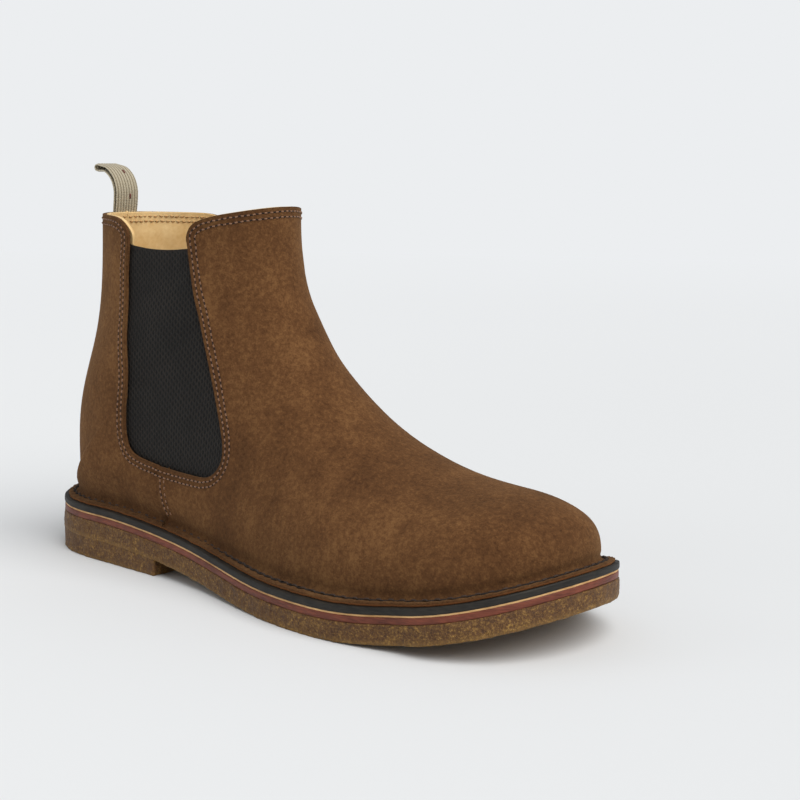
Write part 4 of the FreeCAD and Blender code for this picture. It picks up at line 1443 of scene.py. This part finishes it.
def build_floor():
    """Pale floor that fades into the studio's even backdrop well away from the boot."""
    size = 14.0
    mesh = bpy.data.meshes.new("floor")
    corners = [(-size, -size, 0), (size, -size, 0), (size, size, 0), (-size, size, 0)]
    mesh.from_pydata(corners, [], [(0, 1, 2, 3)])
    floor = bpy.data.objects.new("floor", mesh)
    bpy.context.scene.collection.objects.link(floor)
    look = Look("floor_mat", 0.9, Specular_IOR_Level=0.1)
    tint = look.noise(1.5, 1.0)
    look.coat(look.ramp(tint, (0.3, paint(228, 230, 232)), (0.7, paint(231, 233, 235))))
    far = look.node("VectorMath", {0: look.place}, operation="LENGTH").outputs["Value"]
    fade = look.ramp(look.math("DIVIDE", far, 3.0, clamp=True), (0.18, 0.0), (0.75, 1.0))
    glow = look.node("Emission", {"Color": STUDIO, "Strength": 1.0}).outputs[0]
    both = look.node("MixShader", {0: fade, 1: look.shader.outputs[0], 2: glow}).outputs[0]
    look.tree.links.new(both, look.tree.nodes["Material Output"].inputs["Surface"])
    mesh.materials.append(look.material)


def build_backdrop():
    """A far even dome that only the camera sees, so that it doesn't light the boot."""
    radius = 13.0
    mesh = bpy.data.meshes.new("backdrop")
    rings, sides = 12, 48
    vertices = []
    faces = []
    for i in range(rings + 1):
        lift = math.pi / 2 * (i / rings * 1.04 - 0.04)
        for j in range(sides):
            turn = 2 * math.pi * j / sides
            vertices.append((radius * math.cos(lift) * math.cos(turn),
                             radius * math.cos(lift) * math.sin(turn), radius * math.sin(lift)))
    for i in range(rings):
        for j in range(sides):
            k = (j + 1) % sides
            faces.append((i * sides + j, i * sides + k, (i + 1) * sides + k, (i + 1) * sides + j))
    mesh.from_pydata(vertices, [], faces)
    dome = bpy.data.objects.new("backdrop", mesh)
    bpy.context.scene.collection.objects.link(dome)
    material = bpy.data.materials.new("backdrop_mat")
    material.use_nodes = True
    shader = material.node_tree.nodes["Principled BSDF"]
    shader.inputs["Base Color"].default_value = (0, 0, 0, 1)
    shader.inputs["Specular IOR Level"].default_value = 0.0
    shader.inputs["Emission Color"].default_value = STUDIO
    shader.inputs["Emission Strength"].default_value = 1.0
    mesh.materials.append(material)
    dome.visible_diffuse = False
    dome.visible_glossy = False
    dome.visible_transmission = False
    dome.visible_shadow = False


def add_light(kind, name, place, toward, strength, colour=(1, 1, 1)):
    """A light whose rays come from toward, seen from where it shines."""
    light = bpy.data.lights.new(name, kind)
    light.energy = strength
    light.color = colour
    made = bpy.data.objects.new(name, light)
    made.location = place
    made.rotation_euler = toward.to_track_quat("Z", "Y").to_euler()
    bpy.context.scene.collection.objects.link(made)
    return light


def back_vector(azimuth, elevation):
    a = math.radians(azimuth)
    e = math.radians(elevation)
    return Vector((math.sin(a) * math.cos(e), -math.cos(a) * math.cos(e), math.sin(e)))


def build_camera():
    """Looks at the outer side from the front, turned so that the boot stands left of the middle."""
    distance = 0.7384
    focal_share = 1631.5 / 800
    target = Vector(place(140, 60))
    location = target + back_vector(43.67, 10.71) * distance
    back = back_vector(39.90, 8.94)
    roll = math.radians(0.93)
    flat_right = Vector((0, 0, 1)).cross(back).normalized()
    flat_up = back.cross(flat_right)
    right = flat_right * math.cos(roll) + flat_up * math.sin(roll)
    up = flat_up * math.cos(roll) - flat_right * math.sin(roll)
    camera = bpy.data.cameras.new("camera")
    camera.sensor_width = 36.0
    camera.lens = focal_share * camera.sensor_width
    camera.clip_start = 0.01
    made = bpy.data.objects.new("camera", camera)
    made.location = location
    made.rotation_euler = Matrix((right, up, back)).transposed().to_euler()
    bpy.context.scene.collection.objects.link(made)
    bpy.context.scene.camera = made


build_floor()
build_backdrop()
key = add_light("SUN", "key", (0, 0, 0), Vector((0.75, -0.12, 1.0)), 2.5, (1.0, 0.985, 0.96))
key.angle = math.radians(55)
side_place = Vector((-0.9, -1.0, 0.7))
side_light = add_light("AREA", "side", side_place, side_place - Vector((0, 0, 0.06)), 1.5)
side_light.shape = "DISK"
side_light.size = 0.9
world = bpy.data.worlds.new("studio")
world.use_nodes = True
world.node_tree.nodes["Background"].inputs[0].default_value = STUDIO
world.node_tree.nodes["Background"].inputs[1].default_value = 0.48
bpy.context.scene.world = world
bpy.context.scene.view_settings.view_transform = "Standard"
build_camera()
